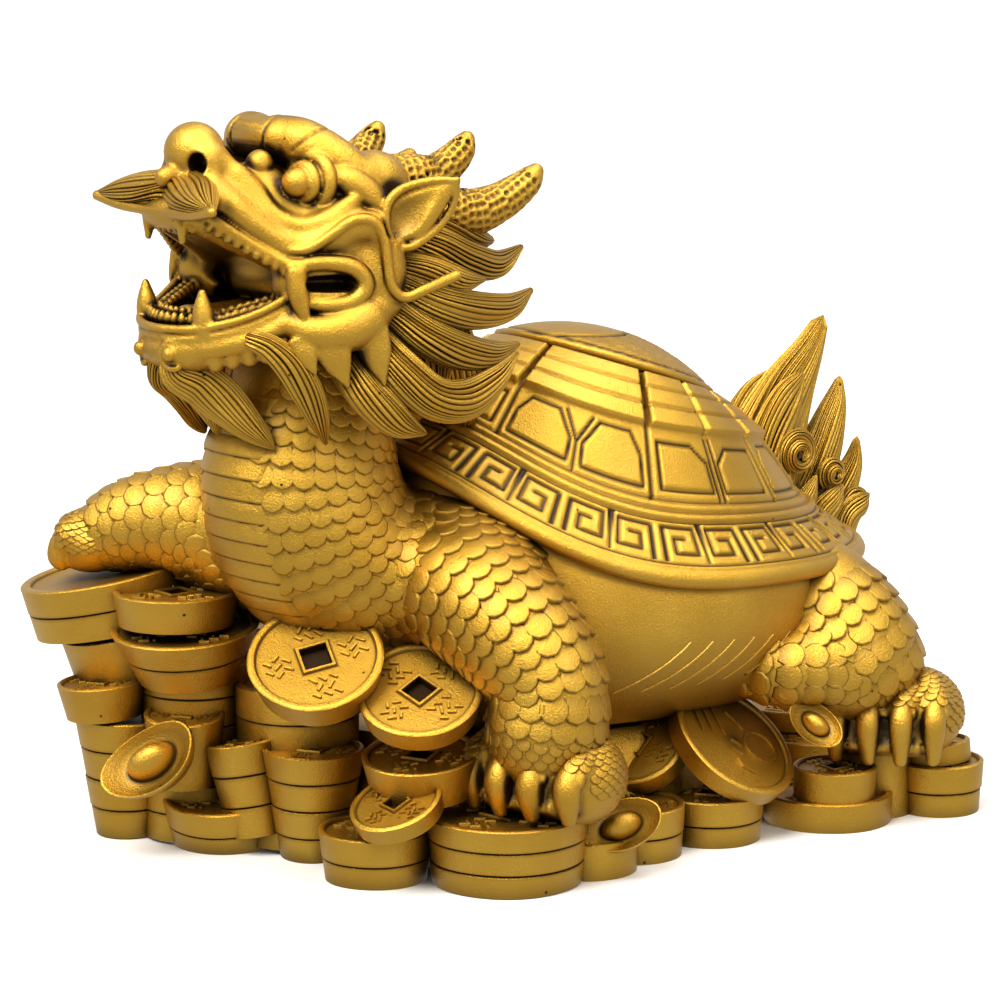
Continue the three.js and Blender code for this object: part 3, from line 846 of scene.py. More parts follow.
def mouth(form):
    """Palate hollow, chin, lower jaw with its double lip, and the tongue."""
    vault = [(0, -97, 136, 5.5, 3), (0, -84, 130.5, 11, 4.4), (0, -72, 125.5, 13, 3.6)]
    form.limb(vault, blend=1.5, cut=True)
    jaw = [
        (0, -62, 117, 18, 8),
        (0, -76, 115.5, 18.4, 5),
        (0, -87, 114.4, 15.4, 4.6),
        (0, -96, 114, 10, 3.8),
    ]
    form.limb(jaw, blend=2)
    form.ball((0, -92.6, 113.6), (10.8, 8.6, 5), blend=2)
    form.ball((0, -71, 123), (14.5, 10, 3.6), blend=1, cut=True)
    form.ball((0, -68, 127.6), (15, 9, 9), blend=2)
    for side in SIDES:
        hollow = [(5.5, -95, 137.6, 1.4, 1.8), (7, -88, 133.4, 2, 2.2), (8, -81, 129.4, 1.8, 2)]
        form.limb(mirrored(hollow, side), blend=0.6, cut=True)
    lip = [
        (-21, -77.4, 126),
        (-17, -87, 121),
        (-11, -96, 118.4),
        (0, -99.8, 117.8),
        (11, -96, 118.4),
        (17, -87, 121),
        (21, -77.4, 126),
    ]
    for height, out in ((-0.95, 0.0), (0.95, 0.5)):
        bead = [(x * (1 + 0.02 * out), y - out, z + height, 0.95) for x, y, z in lip]
        form.limb(bead, blend=0.35, steps=6)
    tongue = [(0, -66, 121, 9, 3), (0, -80, 120, 8.4, 2.4), (0, -91, 121, 5, 1.6)]
    form.limb(tongue, blend=0.6)
    tongue_line = [(0, -70, 124, 0.7), (0, -80, 122.6, 0.7), (0, -90, 122.6, 0.5)]
    form.limb(tongue_line, blend=0.4, cut=True)


def teeth(form):
    """The small teeth: rows along both sides of the jaws, and across the front."""
    for side in SIDES:
        for i in range(9):
            share = i / 8
            upper = (10.2 + 9.4 * share, -93.2 + 12.2 * share, 139.9 - 9.2 * share)
            form.ball((upper[0] * side, *upper[1:]), (1.05, 0.95, 1.25), blend=0.12)
            low = (11.6 + 6.6 * share, -92 + 12.6 * share, 120.4 + 3.8 * share)
            form.ball((low[0] * side, *low[1:]), (1.15, 1.1, 1.7), blend=0.12)
            form.ball(((low[0] - 2.4) * side, low[1] + 0.6, low[2] + 0.7), (1.0, 1.0, 1.5), blend=0.12)
    for i in range(-4, 5):
        form.ball((1.9 * i, -98.2 + 0.13 * i * i, 120.6), (0.92, 0.95, 1.6), blend=0.1)
        form.ball((1.8 * i, -96.0 + 0.13 * i * i, 121.6), (0.86, 0.9, 1.5), blend=0.1)
        form.ball((1.8 * i, -97.2 + 0.12 * i * i, 140.2), (0.9, 1.1, 2.0), blend=0.12)


def jaw_sides(form):
    """Canines, tusks, curls on the chin, the fold under the lip and the row of knobs along it."""
    for side in SIDES:
        canine = [
            (10.4, -94.8, 118.6, 2.6, 2.4),
            (10.5, -95.2, 122.4, 2.3, 2.1),
            (10.6, -95.4, 126.6, 0.8, 0.8),
        ]
        form.limb(mirrored(canine, side), blend=0.2, flat=(0, 1, 0))
        fang = [(6.2, -97, 141, 1.6, 1.5), (6.4, -97.2, 136.8, 0.7, 0.7)]
        form.limb(mirrored(fang, side), blend=0.2)
        tusk = [
            (21.8, -79.8, 130.6, 2.3, 1.7),
            (22.8, -79.8, 125.4, 2.1, 1.5),
            (24.2, -78.4, 119.4, 0.6, 0.6),
        ]
        form.limb(mirrored(tusk, side), blend=0.2, flat=(1 * side, -0.7, 0))
        form.ball((5.4 * side, -100.2, 113.8), (1.6, 1.5, 1.6), blend=0.3)
        form.ring((5.4 * side, -99.4, 113.4), (0.45 * side, -1, 0), 2.8, 0.7, blend=0.4, arc=(-120, 100))
        under_lip = [
            (6, -97, 115, 2.6),
            (11.6, -93.4, 115.4, 2.6),
            (16.6, -86, 117.2, 2.6),
            (20, -79, 121, 2.4),
        ]
        form.limb(mirrored(under_lip, side), blend=1)
        for k in range(5):
            share = k / 4
            knob = ((11 + 8.6 * share) * side, -92.6 + 11 * share, 112.6 + 2.2 * share)
            form.ball(knob, (2, 2, 2.6), blend=0.7)


def cheeks(form, side):
    """Cheek, its slot and smooth plate, the roll under them and the leaves under the jaw."""
    form.ball((15 * side, -62, 122), (10, 10, 13), blend=3)
    form.ball((17 * side, -69, 126.5), (9.4, 12, 8.5), blend=2)
    form.ball((20 * side, -63.5, 127.5), (8.8, 7, 12), blend=2)
    roll = [
        (20, -80.4, 119.8, 2.6),
        (23.4, -76.4, 118.2, 3.8),
        (25.6, -71, 118.4, 4.8),
        (26.2, -65.6, 120.4, 5),
    ]
    form.limb(mirrored(roll, side), blend=0.8)
    thin = mirrored([JAW_OUTWARD], side)[0]
    leaves = [
        [(23.4, -80, 117, 3, 1.2), (24.5, -79.2, 113.4, 2.4, 1.1), (25.4, -77.8, 110, 0.5, 0.5)],
        [(26, -75, 117, 4.2, 1.5), (27, -73.8, 113, 3.6, 1.3), (28.1, -71.6, 107.2, 0.5, 0.5)],
        [(28.5, -66, 118, 3.8, 1.5), (29.2, -65, 113, 3.2, 1.3), (30.2, -63.8, 107, 0.5, 0.5)],
    ]
    for leaf in leaves:
        form.limb(mirrored(leaf, side), blend=0.3, flat=thin)
    wrinkles = [
        [(12, -88, 141.6), (15.4, -84, 137.4), (19.4, -79.6, 134.2)],
        [(10.6, -85.6, 150), (13.4, -82.6, 145), (17, -79.6, 140)],
        [(9, -83.4, 152), (12, -80.4, 148.4), (16.4, -77, 142.4)],
    ]
    for wrinkle in wrinkles:
        form.line(mirrored(wrinkle, side), 0.45, blend=0.3)


def ear(form, side):
    """A pointed ear, hollowed inside a raised rim."""
    thin = mirrored([JAW_OUTWARD], side)[0]
    blade = [
        (27.4, -58.6, 137.4, 3, 1.8),
        (28.4, -56.8, 140.6, 5.2, 2.2),
        (31, -52.8, 144.4, 4, 1.8),
        (35, -48.4, 148.6, 0.6, 0.6),
    ]
    form.limb(mirrored(blade, side), blend=0.5, flat=thin)
    form.limb(mirrored([(22, -54, 140, 5), (27, -55.4, 140.6, 3)], side), blend=1)
    bowl = [(29.4, -60.8, 138.6, 2.8, 2.2), (31, -58.4, 141.8, 3.8, 2.8), (34, -54, 146, 1.8, 1.8)]
    form.limb(mirrored(bowl, side), blend=0.5, cut=True, flat=thin)
    front = [
        (28.4, -59.8, 135, 1.1),
        (27.6, -61.4, 139.5, 1.1),
        (27.4, -60.6, 144, 1.1),
        (28.6, -57.4, 147, 1.0),
        (31.8, -52.6, 148.5, 0.9),
        (35.2, -48.6, 148.7, 0.6),
    ]
    rear = [
        (28.4, -59.8, 135, 1.0),
        (30.4, -56.4, 135.2, 0.9),
        (32.2, -51.2, 139, 0.9),
        (34, -48.6, 144, 0.8),
        (35.2, -48.6, 148.7, 0.6),
    ]
    form.limb(mirrored(front, side), blend=0.3, steps=6)
    form.limb(mirrored(rear, side), blend=0.3, steps=6)


def head_form():
    """The whole head, without mane and horns."""
    form = Sculpt((-38, -104, 104), (38, -38, 163), 0.42)
    form.ball((0, -56, 131), (22, 18, 20), blend=3)
    muzzle(form)
    for side in SIDES:
        cheeks(form, side)
        face_skin(form, side)
    mouth(form)
    teeth(form)
    jaw_sides(form)
    for side in SIDES:
        eye(form, side)
        slot = [(23.2, -77, 128.1, 4.6, 1.5), (25, -72.4, 128.1, 4.6, 1.75), (25.8, -69.8, 128, 4.6, 1.5)]
        form.limb(mirrored(slot, side), blend=0.2, cut=True)
        lip_loop(form, side)
        moustache_cord(form, side)
        ear(form, side)
    brow(form)
    return form


# Mane, beard and horns.

# Locks of the left side, from the head to the tip.
MANE = [
    [
        (16, -50, 141, 4.4, 4),
        (18, -40, 137, 4, 4.4),
        (18, -32, 134, 3.4, 3.6),
        (17.5, -26, 133, 0.9, 0.9),
    ],
    [
        (22, -53, 136.5, 4, 4.4),
        (25, -46.5, 134, 4.4, 4.4),
        (25, -38.3, 130.5, 4, 3.8),
        (22.5, -28.5, 128.6, 3.2, 2.8),
        (20, -19.9, 131.4, 0.7, 0.7),
    ],
    [
        (23, -56, 131, 3.4, 3),
        (27, -50, 129.5, 3.6, 2.8),
        (29, -43, 127, 2.8, 2.2),
        (28.5, -36.6, 126.6, 0.7, 0.7),
    ],
    [
        (24, -55.3, 126, 4, 3.6),
        (28, -48.5, 122.4, 4.4, 4),
        (27.5, -38.5, 120, 4.2, 3.6),
        (25, -27.4, 119.6, 3, 2.6),
        (22, -18.8, 122.2, 0.7, 0.7),
    ],
    [
        (25, -58, 121, 4, 3.4),
        (29, -52.4, 116, 4.4, 4),
        (29.5, -44, 112.2, 4.2, 3.6),
        (28, -34, 110.4, 3, 2.4),
        (26, -25.5, 111.6, 0.7, 0.7),
    ],
    [
        (24, -63, 116, 4, 3.6),
        (29.5, -59.1, 109.3, 4.8, 4),
        (32.5, -52.9, 103.6, 4.8, 4),
        (32.5, -44.5, 102.4, 4.6, 3.6),
        (30.5, -35.2, 105.6, 3, 2.6),
        (28, -27.6, 110, 0.7, 0.7),
    ],
    [
        (21, -68.4, 112, 4, 3.2),
        (27, -66.1, 105, 4.4, 3.6),
        (30, -60.4, 99, 3.6, 3),
        (31.6, -54.8, 96.2, 0.8, 0.8),
    ],
]
HORNS = [
    [
        (12, -54, 147, 5.6),
        (14, -46, 147.5, 5),
        (15, -39, 148, 4.2),
        (16, -33.5, 152, 3.3),
        (16, -31.5, 154.8, 1.8),
    ],
    [
        (15, -46, 143, 6),
        (18, -35, 139.5, 5.4),
        (20, -27, 141, 4.4),
        (22, -20.5, 145, 3.3),
        (22.5, -18, 147.6, 1.8),
    ],
]


def pitted(form, stations, pitch=1.95):
    """Sinks small round pits in staggered rows all over a horn."""
    run = spline(stations, 8)
    across, through = limb_frames(run, (0, 0, 1))
    lengths = along_run(run[:, :3])
    row_pitch = pitch * 0.87
    for row in range(int(lengths[-1] / row_pitch)):
        at = np.array([np.interp((row + 0.5) * row_pitch, lengths, run[:, k]) for k in range(5)])
        nearest = int(np.argmin(np.linalg.norm(run[:, :3] - at[:3], axis=1)))
        count = max(4, int(2 * math.pi * at[3] / pitch))
        for i in range(count):
            angle = 2 * math.pi * (i + 0.5 * (row % 2)) / count
            away = math.cos(angle) * across[nearest] + math.sin(angle) * through[nearest]
            spot = at[:3] + at[3] * away
            form.ball(spot, (0.68, 0.68, 0.68), blend=0.12, cut=True)


def mane_piece():
    """Flame-shaped locks on both sides of the head, and the hair down the back of the neck."""
    heap = Gathered()
    back = [
        (0, -50, 146, 8, 6),
        (0, -45, 139, 14, 12),
        (0, -38, 126, 16, 10),
        (0, -32, 108, 18, 9),
        (0, -28, 95, 15, 5),
    ]
    lock(heap, back, (0, 1, 0), pitch=1.7, steps=5, seed=2)
    root = [
        (12, -50, 144, 5, 5),
        (14, -48, 134, 9, 10),
        (17, -46, 120, 9, 9),
        (18, -46, 107, 8, 8),
        (18, -46, 99, 3, 3),
    ]
    for side in SIDES:
        outward = (0.9 * side, -0.4, 0.1)
        lock(heap, mirrored(root, side), outward, pitch=1.3, steps=5, twist=-0.8 * side, seed=9)
        for i, stations in enumerate(MANE):
            lock(heap, mirrored(stations, side), outward, twist=0.5 * side, seed=i + 13)
    return heap.piece("mane")


def beard_piece():
    """The beard, combed back from the chin to both sides of the throat."""
    heap = Gathered()
    middle = [
        (0, -96, 112, 4, 2.6),
        (0, -92.6, 107.6, 5.4, 3),
        (0, -87.6, 102, 5, 2.8),
        (0, -85, 95.6, 1, 1),
    ]
    lock(heap, middle, (0, -0.75, -0.65), pitch=0.85, seed=20)
    for side in SIDES:
        thin = mirrored([JAW_OUTWARD], side)[0]
        chin = [
            (2.6, -95.4, 113.4, 3, 2.6),
            (3.4, -96.6, 109.6, 4.2, 3),
            (5.2, -92, 106.8, 5, 3.2),
            (7, -88, 103, 4.8, 3),
            (9.6, -84.4, 98.6, 3.6, 2.6),
            (11.6, -81.6, 95.4, 2.2, 1.8),
            (12.8, -79.8, 93.2, 0.6, 0.6),
        ]
        lock(heap, mirrored(chin, side), thin, pitch=0.85, twist=0.2 * side, seed=21)
        jaw = [
            (13, -86, 116.4, 1.6, 1.4),
            (17.4, -88, 117, 2.2, 1.8),
            (20, -85.2, 115.4, 2.8, 2),
            (22, -81.6, 111.6, 3.4, 2.4),
            (23, -78.2, 106, 3.4, 2.4),
            (22.4, -75, 100, 2.4, 2),
            (20.4, -71.8, 94.4, 0.6, 0.6),
        ]
        lock(heap, mirrored(jaw, side), thin, pitch=0.8, twist=0.3 * side, seed=22)
    return heap.piece("beard")


def horns_form():
    """Forked horns, pitted all over."""
    form = Sculpt((-30, -60, 132), (30, -14, 160), 0.36)
    for side in SIDES:
        for tine in HORNS:
            form.limb(mirrored(tine, side), blend=1.2)
        for tine in HORNS:
            pitted(form, mirrored(tine, side))
    return form


# Tail.

TAIL = [
    [
        (0, 66, 62, 12.5, 8),
        (0, 69.5, 76, 11.4, 7),
        (0, 75, 87.5, 8.2, 5.4),
        (0, 81.6, 97, 4.6, 3.4),
        (0, 85.6, 103.6, 2.4, 2),
    ],
    [(0, 78, 60, 8, 6), (0, 86, 73, 6, 5), (0, 90.4, 83, 3.6, 3.2), (0, 92.2, 89.6, 1.1, 1.1)],
    [(0, 84, 54, 7, 6), (0, 92, 62, 4.6, 4.4), (0, 96.6, 68.6, 2.8, 2.8), (0, 98.2, 74.6, 0.9, 0.9)],
]


def curl(heap, centre, radius, side):
    """A lock rolled up into a spiral beside the tail's root."""
    turns = []
    for i in range(17):
        angle = math.radians(235 - i * 40)
        out = radius * (1 - i / 21)
        thick = 0.4 * radius * (1 - i / 34)
        turns.append(
            (
                centre[0] + side * 0.16 * i,
                centre[1] + out * math.cos(angle),
                centre[2] + out * math.sin(angle),
                thick,
                thick * 0.9,
            )
        )
    lock(heap, turns, (1, 0, 0), pitch=0.95, steps=3, seed=50)


def tail_piece():
    """Upright flame-shaped locks on a curled root."""
    heap = Gathered()
    root = [
        (0, 60, 50, 9, 8),
        (0, 68, 52, 12, 11),
        (0, 78, 55, 11, 10),
        (0, 87, 57, 7, 7),
        (0, 93, 60, 2, 2),
    ]
    lock(heap, root, (0, 0, 1), pitch=1.3, steps=5, seed=29)
    for i, stations in enumerate(TAIL):
        lock(heap, stations, (1, 0, 0), pitch=1.05, twist=0.25, seed=30 + i)
    for side in SIDES:
        curl(heap, (7.6 * side, 71.4, 75.4), 5.2, side)
        curl(heap, (6.4 * side, 84, 69), 3.4, side)
        curl(heap, (7 * side, 91, 61), 3.8, side)
        lobe = [
            (4.4, 62, 64, 5, 3.4),
            (5.4, 65, 77, 6.4, 3.8),
            (5.2, 70.4, 87, 5, 3),
            (4.2, 75.6, 92.6, 1.6, 1.4),
        ]
        lock(heap, mirrored(lobe, side), (1, 0, 0), pitch=1.1, steps=6, twist=0.5 * side, seed=36)
        for i in range(4):
            low = 60 + 8.5 * i
            wisp = [
                (7, low, 50, 4, 3),
                (7.6, low + 2, 58, 4.4, 3.2),
                (8.4, low + 6, 66 - 1.5 * i, 3, 2.4),
                (8.2, low + 9, 72 - 3 * i, 0.6, 0.6),
            ]
            lock(heap, mirrored(wisp, side), (1, 0, 0), steps=4, twist=0.4 * side, seed=40 + i)
    return heap.piece("tail")


# Shell.

SECTORS = 8
FRETS_PER_SECTOR = 4
# Share of the way in and share of the way up, from the rim to the cap.
SHELL_PROFILE = [(0, 0), (0.18, 0.15), (0.385, 0.31), (0.64, 0.71), (0.84, 0.89), (1, 1)]
BAND = (0.07, 0.3)
CELLS = (0.42, 0.63)
PLATE = (0.655, 0.97)
# How far behind the origin the shell and its cap are centred, and how far the cap leans back.
SHELL_MIDDLE = 19.5
CAP_MIDDLE = 20
CAP_TILT = math.radians(-20)


def shell_sizes():
    """The shell's settings in drawn millimetres."""
    settings = bpy.context.scene.dragon_turtle_shell
    keys = ("width", "length", "rim_height", "rim_fall", "neck_rise", "cap_radius", "cap_height")
    return {key: getattr(settings, key) / UNIT for key in keys}


def rim_line(angle, grow=0.0):
    """Points of the rim at angles round the shell."""
    s = shell_sizes()
    along = np.sin(angle)
    return np.stack(
        [
            (s["width"] / 2 + grow) * np.cos(angle),
            SHELL_MIDDLE + (s["length"] / 2 + grow) * along,
            s["rim_height"] - s["rim_fall"] * along + s["neck_rise"] * np.maximum(0, -along) ** 3,
        ],
        -1,
    )


def cap_line(angle, share=1.0, lift=0.0):
    """Points of the tilted cap at angles round it and a share of the way out."""
    s = shell_sizes()
    x = s["cap_radius"] * share * np.cos(angle)
    y = s["cap_radius"] * share * np.sin(angle)
    level = CAP_MIDDLE + y * math.cos(CAP_TILT) - lift * math.sin(CAP_TILT)
    height = s["cap_height"] + y * math.sin(CAP_TILT) + lift * math.cos(CAP_TILT)
    return np.stack([x, level, height], -1)


def dome_line(angle, share):
    """Points of the dome at angles and a share of the way in from the rim."""
    shares, rises = zip(*SHELL_PROFILE)
    smooth = np.linspace(-0.04, 0.04, 9)
    rise = np.mean([np.interp(np.clip(share + d, 0, 1), shares, rises) for d in smooth], axis=0)
    rim = rim_line(angle)
    cap = cap_line(angle, 1.0, -2)
    point = rim + (cap - rim) * share[..., None]
    point[..., 2] = rim[..., 2] + (cap[..., 2] - rim[..., 2]) * rise
    return point


def line_depth(u, v, paths, width, size):
    """How far grooves along paths of shares are cut, from 0 to 1, at places u, v of a panel."""
    wide, high = size
    deepest = np.zeros_like(u)
    for (au, av), (bu, bv) in (ends for path in paths for ends in zip(path, path[1:])):
        ax, ay, bx, by = au * wide, av * high, bu * wide, bv * high
        px, py = u * wide - ax, v * high - ay
        wx, wy = bx - ax, by - ay
        t = np.clip((px * wx + py * wy) / (wx * wx + wy * wy + 1e-9), 0, 1)
        gap = np.hypot(px - t * wx, py - t * wy)
        deepest = np.maximum(deepest, np.clip(1.5 - gap / width, 0, 1))
    return deepest


# Grooves of one fret and one cell, as paths of shares of its width and height.
FRET_SIZE = (8.4, 9.0)
FRET = [
    [(0.13, 0.86), (0.84, 0.86), (0.84, 0.2), (0.36, 0.2), (0.36, 0.58), (0.6, 0.58)],
    [(0.13, 0.86), (0.13, 0.0)],
    [(1.02, 0.0), (0.97, 1.0)],
]
CELL_SIZE = (30.0, 10.5)
CELL_LEFT = [(0.05, 0.16), (0.06, 0.62), (0.13, 0.95), (0.35, 0.95), (0.46, 0.5), (0.45, 0.1), (0.05, 0.1)]
CELL_FORK = [[(0.5, 0.0), (0.5, 0.5)], [(0.5, 0.5), (0.4, 1.0)], [(0.5, 0.5), (0.6, 1.0)]]
CELL_PANE = [(0.07, 0.12), (0.07, 0.86), (0.34, 0.86), (0.45, 0.6), (0.45, 0.12), (0.07, 0.12)]
CELL_BARS = [[(0.48, 0), (0.48, 1)], [(0.52, 0), (0.52, 1)]]
# Which of a sector's three bars, from the rim inwards, are broken in the middle.
BROKEN = [(1, 1, 1), (0, 1, 1), (1, 1, 0), (0, 1, 0), (1, 0, 1), (0, 0, 1), (1, 0, 0), (0, 0, 0)]


def flipped(path):
    """A panel's path, left for right."""
    return [(1 - u, v) for u, v in path]


def shell_relief(angle, share):
    """Height of the shell's carving in millimetres at angles and shares of the way in."""
    turn = 2 * math.pi / SECTORS
    place = (angle + turn / 2) / turn
    sector = np.floor(place).astype(int) % SECTORS
    u = place - np.floor(place)
    relief = np.zeros_like(share)

    def ridge(middle, half, high):
        return high * np.clip(1.6 - 1.6 * np.abs(share - middle) / half, 0, 1)

    def groove(middle, half, deep):
        return -deep * np.clip(1.5 - np.abs(share - middle) / half, 0, 1)

    # Bead at the rim, and the double moulding between the fret and the cells.
    relief += groove(0.052, 0.007, 0.5)
    relief += ridge(0.035, 0.014, 0.35)
    relief += groove(0.305, 0.006, 0.55) + groove(0.36, 0.005, 0.5) + groove(0.405, 0.005, 0.5)
    relief += ridge(0.333, 0.03, 0.7) + ridge(0.384, 0.022, 0.45)

    # Fret: square hooks, each the mirror of the next, and slanted bars between pairs.
    band = (share > BAND[0]) & (share < BAND[1])
    v = (share - BAND[0]) / (BAND[1] - BAND[0])
    fret = np.floor(u * FRETS_PER_SECTOR).astype(int)
    w = u * FRETS_PER_SECTOR - fret
    w = np.where(fret % 2 == 1, 1 - w, w)
    relief -= np.where(band, 0.62 * line_depth(w, v, FRET, 0.36, FRET_SIZE), 0)

    # Cells: two engraved panes in each sector, parted by a fork or by two upright lines.
    cells = (share > CELLS[0] - 0.02) & (share < CELLS[1] + 0.02)
    v = (share - CELLS[0]) / (CELLS[1] - CELLS[0])
    forked = line_depth(u, v, [CELL_LEFT, flipped(CELL_LEFT), *CELL_FORK], 0.34, CELL_SIZE)
    paned = line_depth(u, v, [CELL_PANE, flipped(CELL_PANE), *CELL_BARS], 0.34, CELL_SIZE)
    relief -= np.where(cells, 0.55 * np.where(sector % 2 == 1, forked, paned), 0)

    # Plates: three bars one over another, whole or broken, raised over the cells. A sector is about
    # 21 mm wide there, and it is about 48 mm from the rim to the cap.
    plate = (share > PLATE[0]) & (share < PLATE[1])
    edge_shares = np.minimum(share - PLATE[0], PLATE[1] - share) * 48
    edge_sides = np.minimum(u, 1 - u) * 21 - 0.3
    raised = np.clip(np.minimum(edge_shares * 3, edge_sides * 2), 0, 1)
    relief += np.where(plate, 1.7 * raised, 0)
    v = (share - PLATE[0]) / (PLATE[1] - PLATE[0])
    for line in (1 / 3, 2 / 3):
        relief -= np.where(plate, 0.6 * np.clip(1.5 - np.abs(v - line) * 15 / 0.4, 0, 1), 0)
    bar_number = np.clip(np.floor(v * 3), 0, 2).astype(int)
    split = np.array(BROKEN)[sector, bar_number] == 1
    relief -= np.where(plate & split, 0.7 * np.clip(1.5 - np.abs(u - 0.5) * 20 / 0.45, 0, 1), 0)

    # Deep grooves between the sectors.
    seam = np.minimum(u, 1 - u) * 22 / 0.3
    relief -= np.where((share > 0.405) & (share < 0.985), 0.6 * np.clip(1.5 - seam, 0, 1), 0)
    return relief


# How far the rim's rounded underside stands out, and how far it lies below the rim.
RIM_UNDERSIDE = [
    (0.5, 0.5),
    (0.75, 1.2),
    (0.6, 2.2),
    (0.1, 3.0),
    (-1.2, 3.5),
    (-3, 3.7),
    (-8, 5),
    (-18, 10),
]


def shell_piece():
    """The carved dome with its rim, closed inside the body."""
    columns = SECTORS * FRETS_PER_SECTOR * 20
    rows = 112
    angle = np.arange(columns) * 2 * math.pi / columns + math.pi / SECTORS
    share = np.linspace(0.985, 0, rows)
    angles, shares = np.meshgrid(angle, share)
    base = dome_line(angles, shares)
    step_round = dome_line(angles + 0.004, shares) - dome_line(angles - 0.004, shares)
    step_in = dome_line(angles, shares + 0.01) - dome_line(angles, shares - 0.01)
    normal = unit_rows(np.cross(step_round, step_in))
    relief = shell_relief(angles, shares)
    top = base + normal * relief[..., None]
    inside = [cap_line(angle, 0.8, -5), dome_line(angle, np.full(columns, 0.985)) - (0, 0, 1.5)]
    under = [rim_line(angle, grow) - (0, 0, drop) for grow, drop in RIM_UNDERSIDE]
    points, quads, caps = closed_rows([*inside, *top, *under], flip=True)
    carved = np.zeros(len(points))
    carved[2 * columns : (2 + rows) * columns] = np.clip(-relief / 0.4 - 0.3, 0, 1).ravel()
    return finish_piece(new_piece("shell", points, [quads, caps], carved))


def cap_piece():
    """The round cap: a low crown with a curved line through it, one half stippled."""
    columns, rows = 192, 48
    angle = np.arange(columns) * 2 * math.pi / columns
    share = np.linspace(0.02, 1.0, rows)
    angles, shares = np.meshgrid(angle, share)
    crown = bpy.context.scene.dragon_turtle_shell.cap_crown / UNIT
    x = shares * np.cos(angles)
    y = shares * np.sin(angles)
    # The line runs round the left of a circle behind the middle and the right of one before it.
    circle = np.hypot(x, np.abs(y) - 0.5) - 0.5
    bend = np.where((y > 0) == (x < 0), circle, 1.0)
    stippled = np.where(y > 0, (x > 0) | (circle < 0), (x > 0) & (circle > 0))
    curve = np.clip(1.5 - np.abs(bend) * 24 / 0.5, 0, 1)
    border = np.clip(1.5 - np.abs(shares - 0.955) * 25 / 0.45, 0, 1)
    lift = crown * (1 - shares**2.1)
    lift -= 0.5 * curve
    rng = np.random.default_rng(5)
    lift += np.where(stippled, rng.uniform(-0.16, 0.16, lift.shape), 0)
    lift -= 0.4 * border
    top = [cap_line(angle, s, l) for s, l in zip(share, lift)]
    rounding = ((1.025, -0.25), (1.035, -0.8), (1.03, -1.7), (1.0, -2.3), (0.9, -5))
    edge = [cap_line(angle, s, l) for s, l in rounding]
    points, quads, caps = closed_rows([*top, *edge], flip=True)
    dark = np.zeros(len(points))
    dark[: rows * columns] = np.maximum(curve, border).ravel()
    return finish_piece(new_piece("shell_cap", points, [quads, caps], dark))


def belly_piece():
    """The smooth flank under the rim, down into the heap."""
    columns, rows = 160, 28
    angle = np.arange(columns) * 2 * math.pi / columns
    bottom = np.stack([33 * np.cos(angle), 15 + 50 * np.sin(angle), np.full(columns, 26.0)], -1)
    rim = rim_line(angle, -2.4) - (0, 0, 3.2)
    out = np.stack([np.cos(angle), np.sin(angle), np.full(columns, -0.6)], -1)
    swell = bpy.context.scene.dragon_turtle_shell.belly_swell / UNIT
    down = np.linspace(0, 1, rows)
    flank = np.array(
        [rim * (1 - d) + bottom * d + out * swell * math.sin(math.pi * d) ** 0.8 for d in down]
    )
    roof = [rim_line(angle, -16) + (0, 0, 4), rim_line(angle, -5) - (0, 0, 2.4)]
    heap = Gathered()
    # Painted shade: the flank grows darker towards the bottom, up to half the wash colour.
    painted_shade = np.append(0.5 * np.repeat(np.clip([0, 0, *(1.8 * down - 0.3)], 0, 1), columns), [0, 0])
    heap.add(*closed_rows([*roof, *flank], flip=True), painted_shade)
    # Fine raised lines that slant down the flank on both sides.
    ring = np.arange(6) * math.pi / 3
    for side, i in product(SIDES, range(6)):
        row = np.linspace(0.26, 0.5 + 0.02 * i, 14)
        turn = 0.2 - 0.09 * i - 0.5 * (row - 0.26) - 0.6 * (row - 0.26) ** 2
        turn = turn if side > 0 else math.pi - turn
        column = turn % (2 * math.pi) / (2 * math.pi) * columns
        first, share = column.astype(int) % columns, (column % 1)[:, None]
        level = row * (rows - 1)
        upper, part = level.astype(int), (level % 1)[:, None]
        spots = 0
        for step, weight in ((0, 1 - part), (1, part)):
            here = flank[upper + step, first]
            after = flank[upper + step, (first + 1) % columns]
            spots = spots + weight * (here * (1 - share) + after * share)
        across, through = limb_frames(spots, (1, 0, 0))
        tube = np.cos(ring)[:, None] * across[:, None] + np.sin(ring)[:, None] * through[:, None]
        heap.add(*closed_rows(spots[:, None] + 0.24 * tube))
    return heap.piece("belly")


# Scales.

SIZE_VARIATION = 0.05
# The left shoulder under the shell, which carries scales like the limbs.
SHOULDER = [
    (8, -8, 62, 26, 20),
    (24, -22, 58, 22, 18),
    (33, -30, 50, 14, 16),
    (36, -32, 42, 10, 12),
]


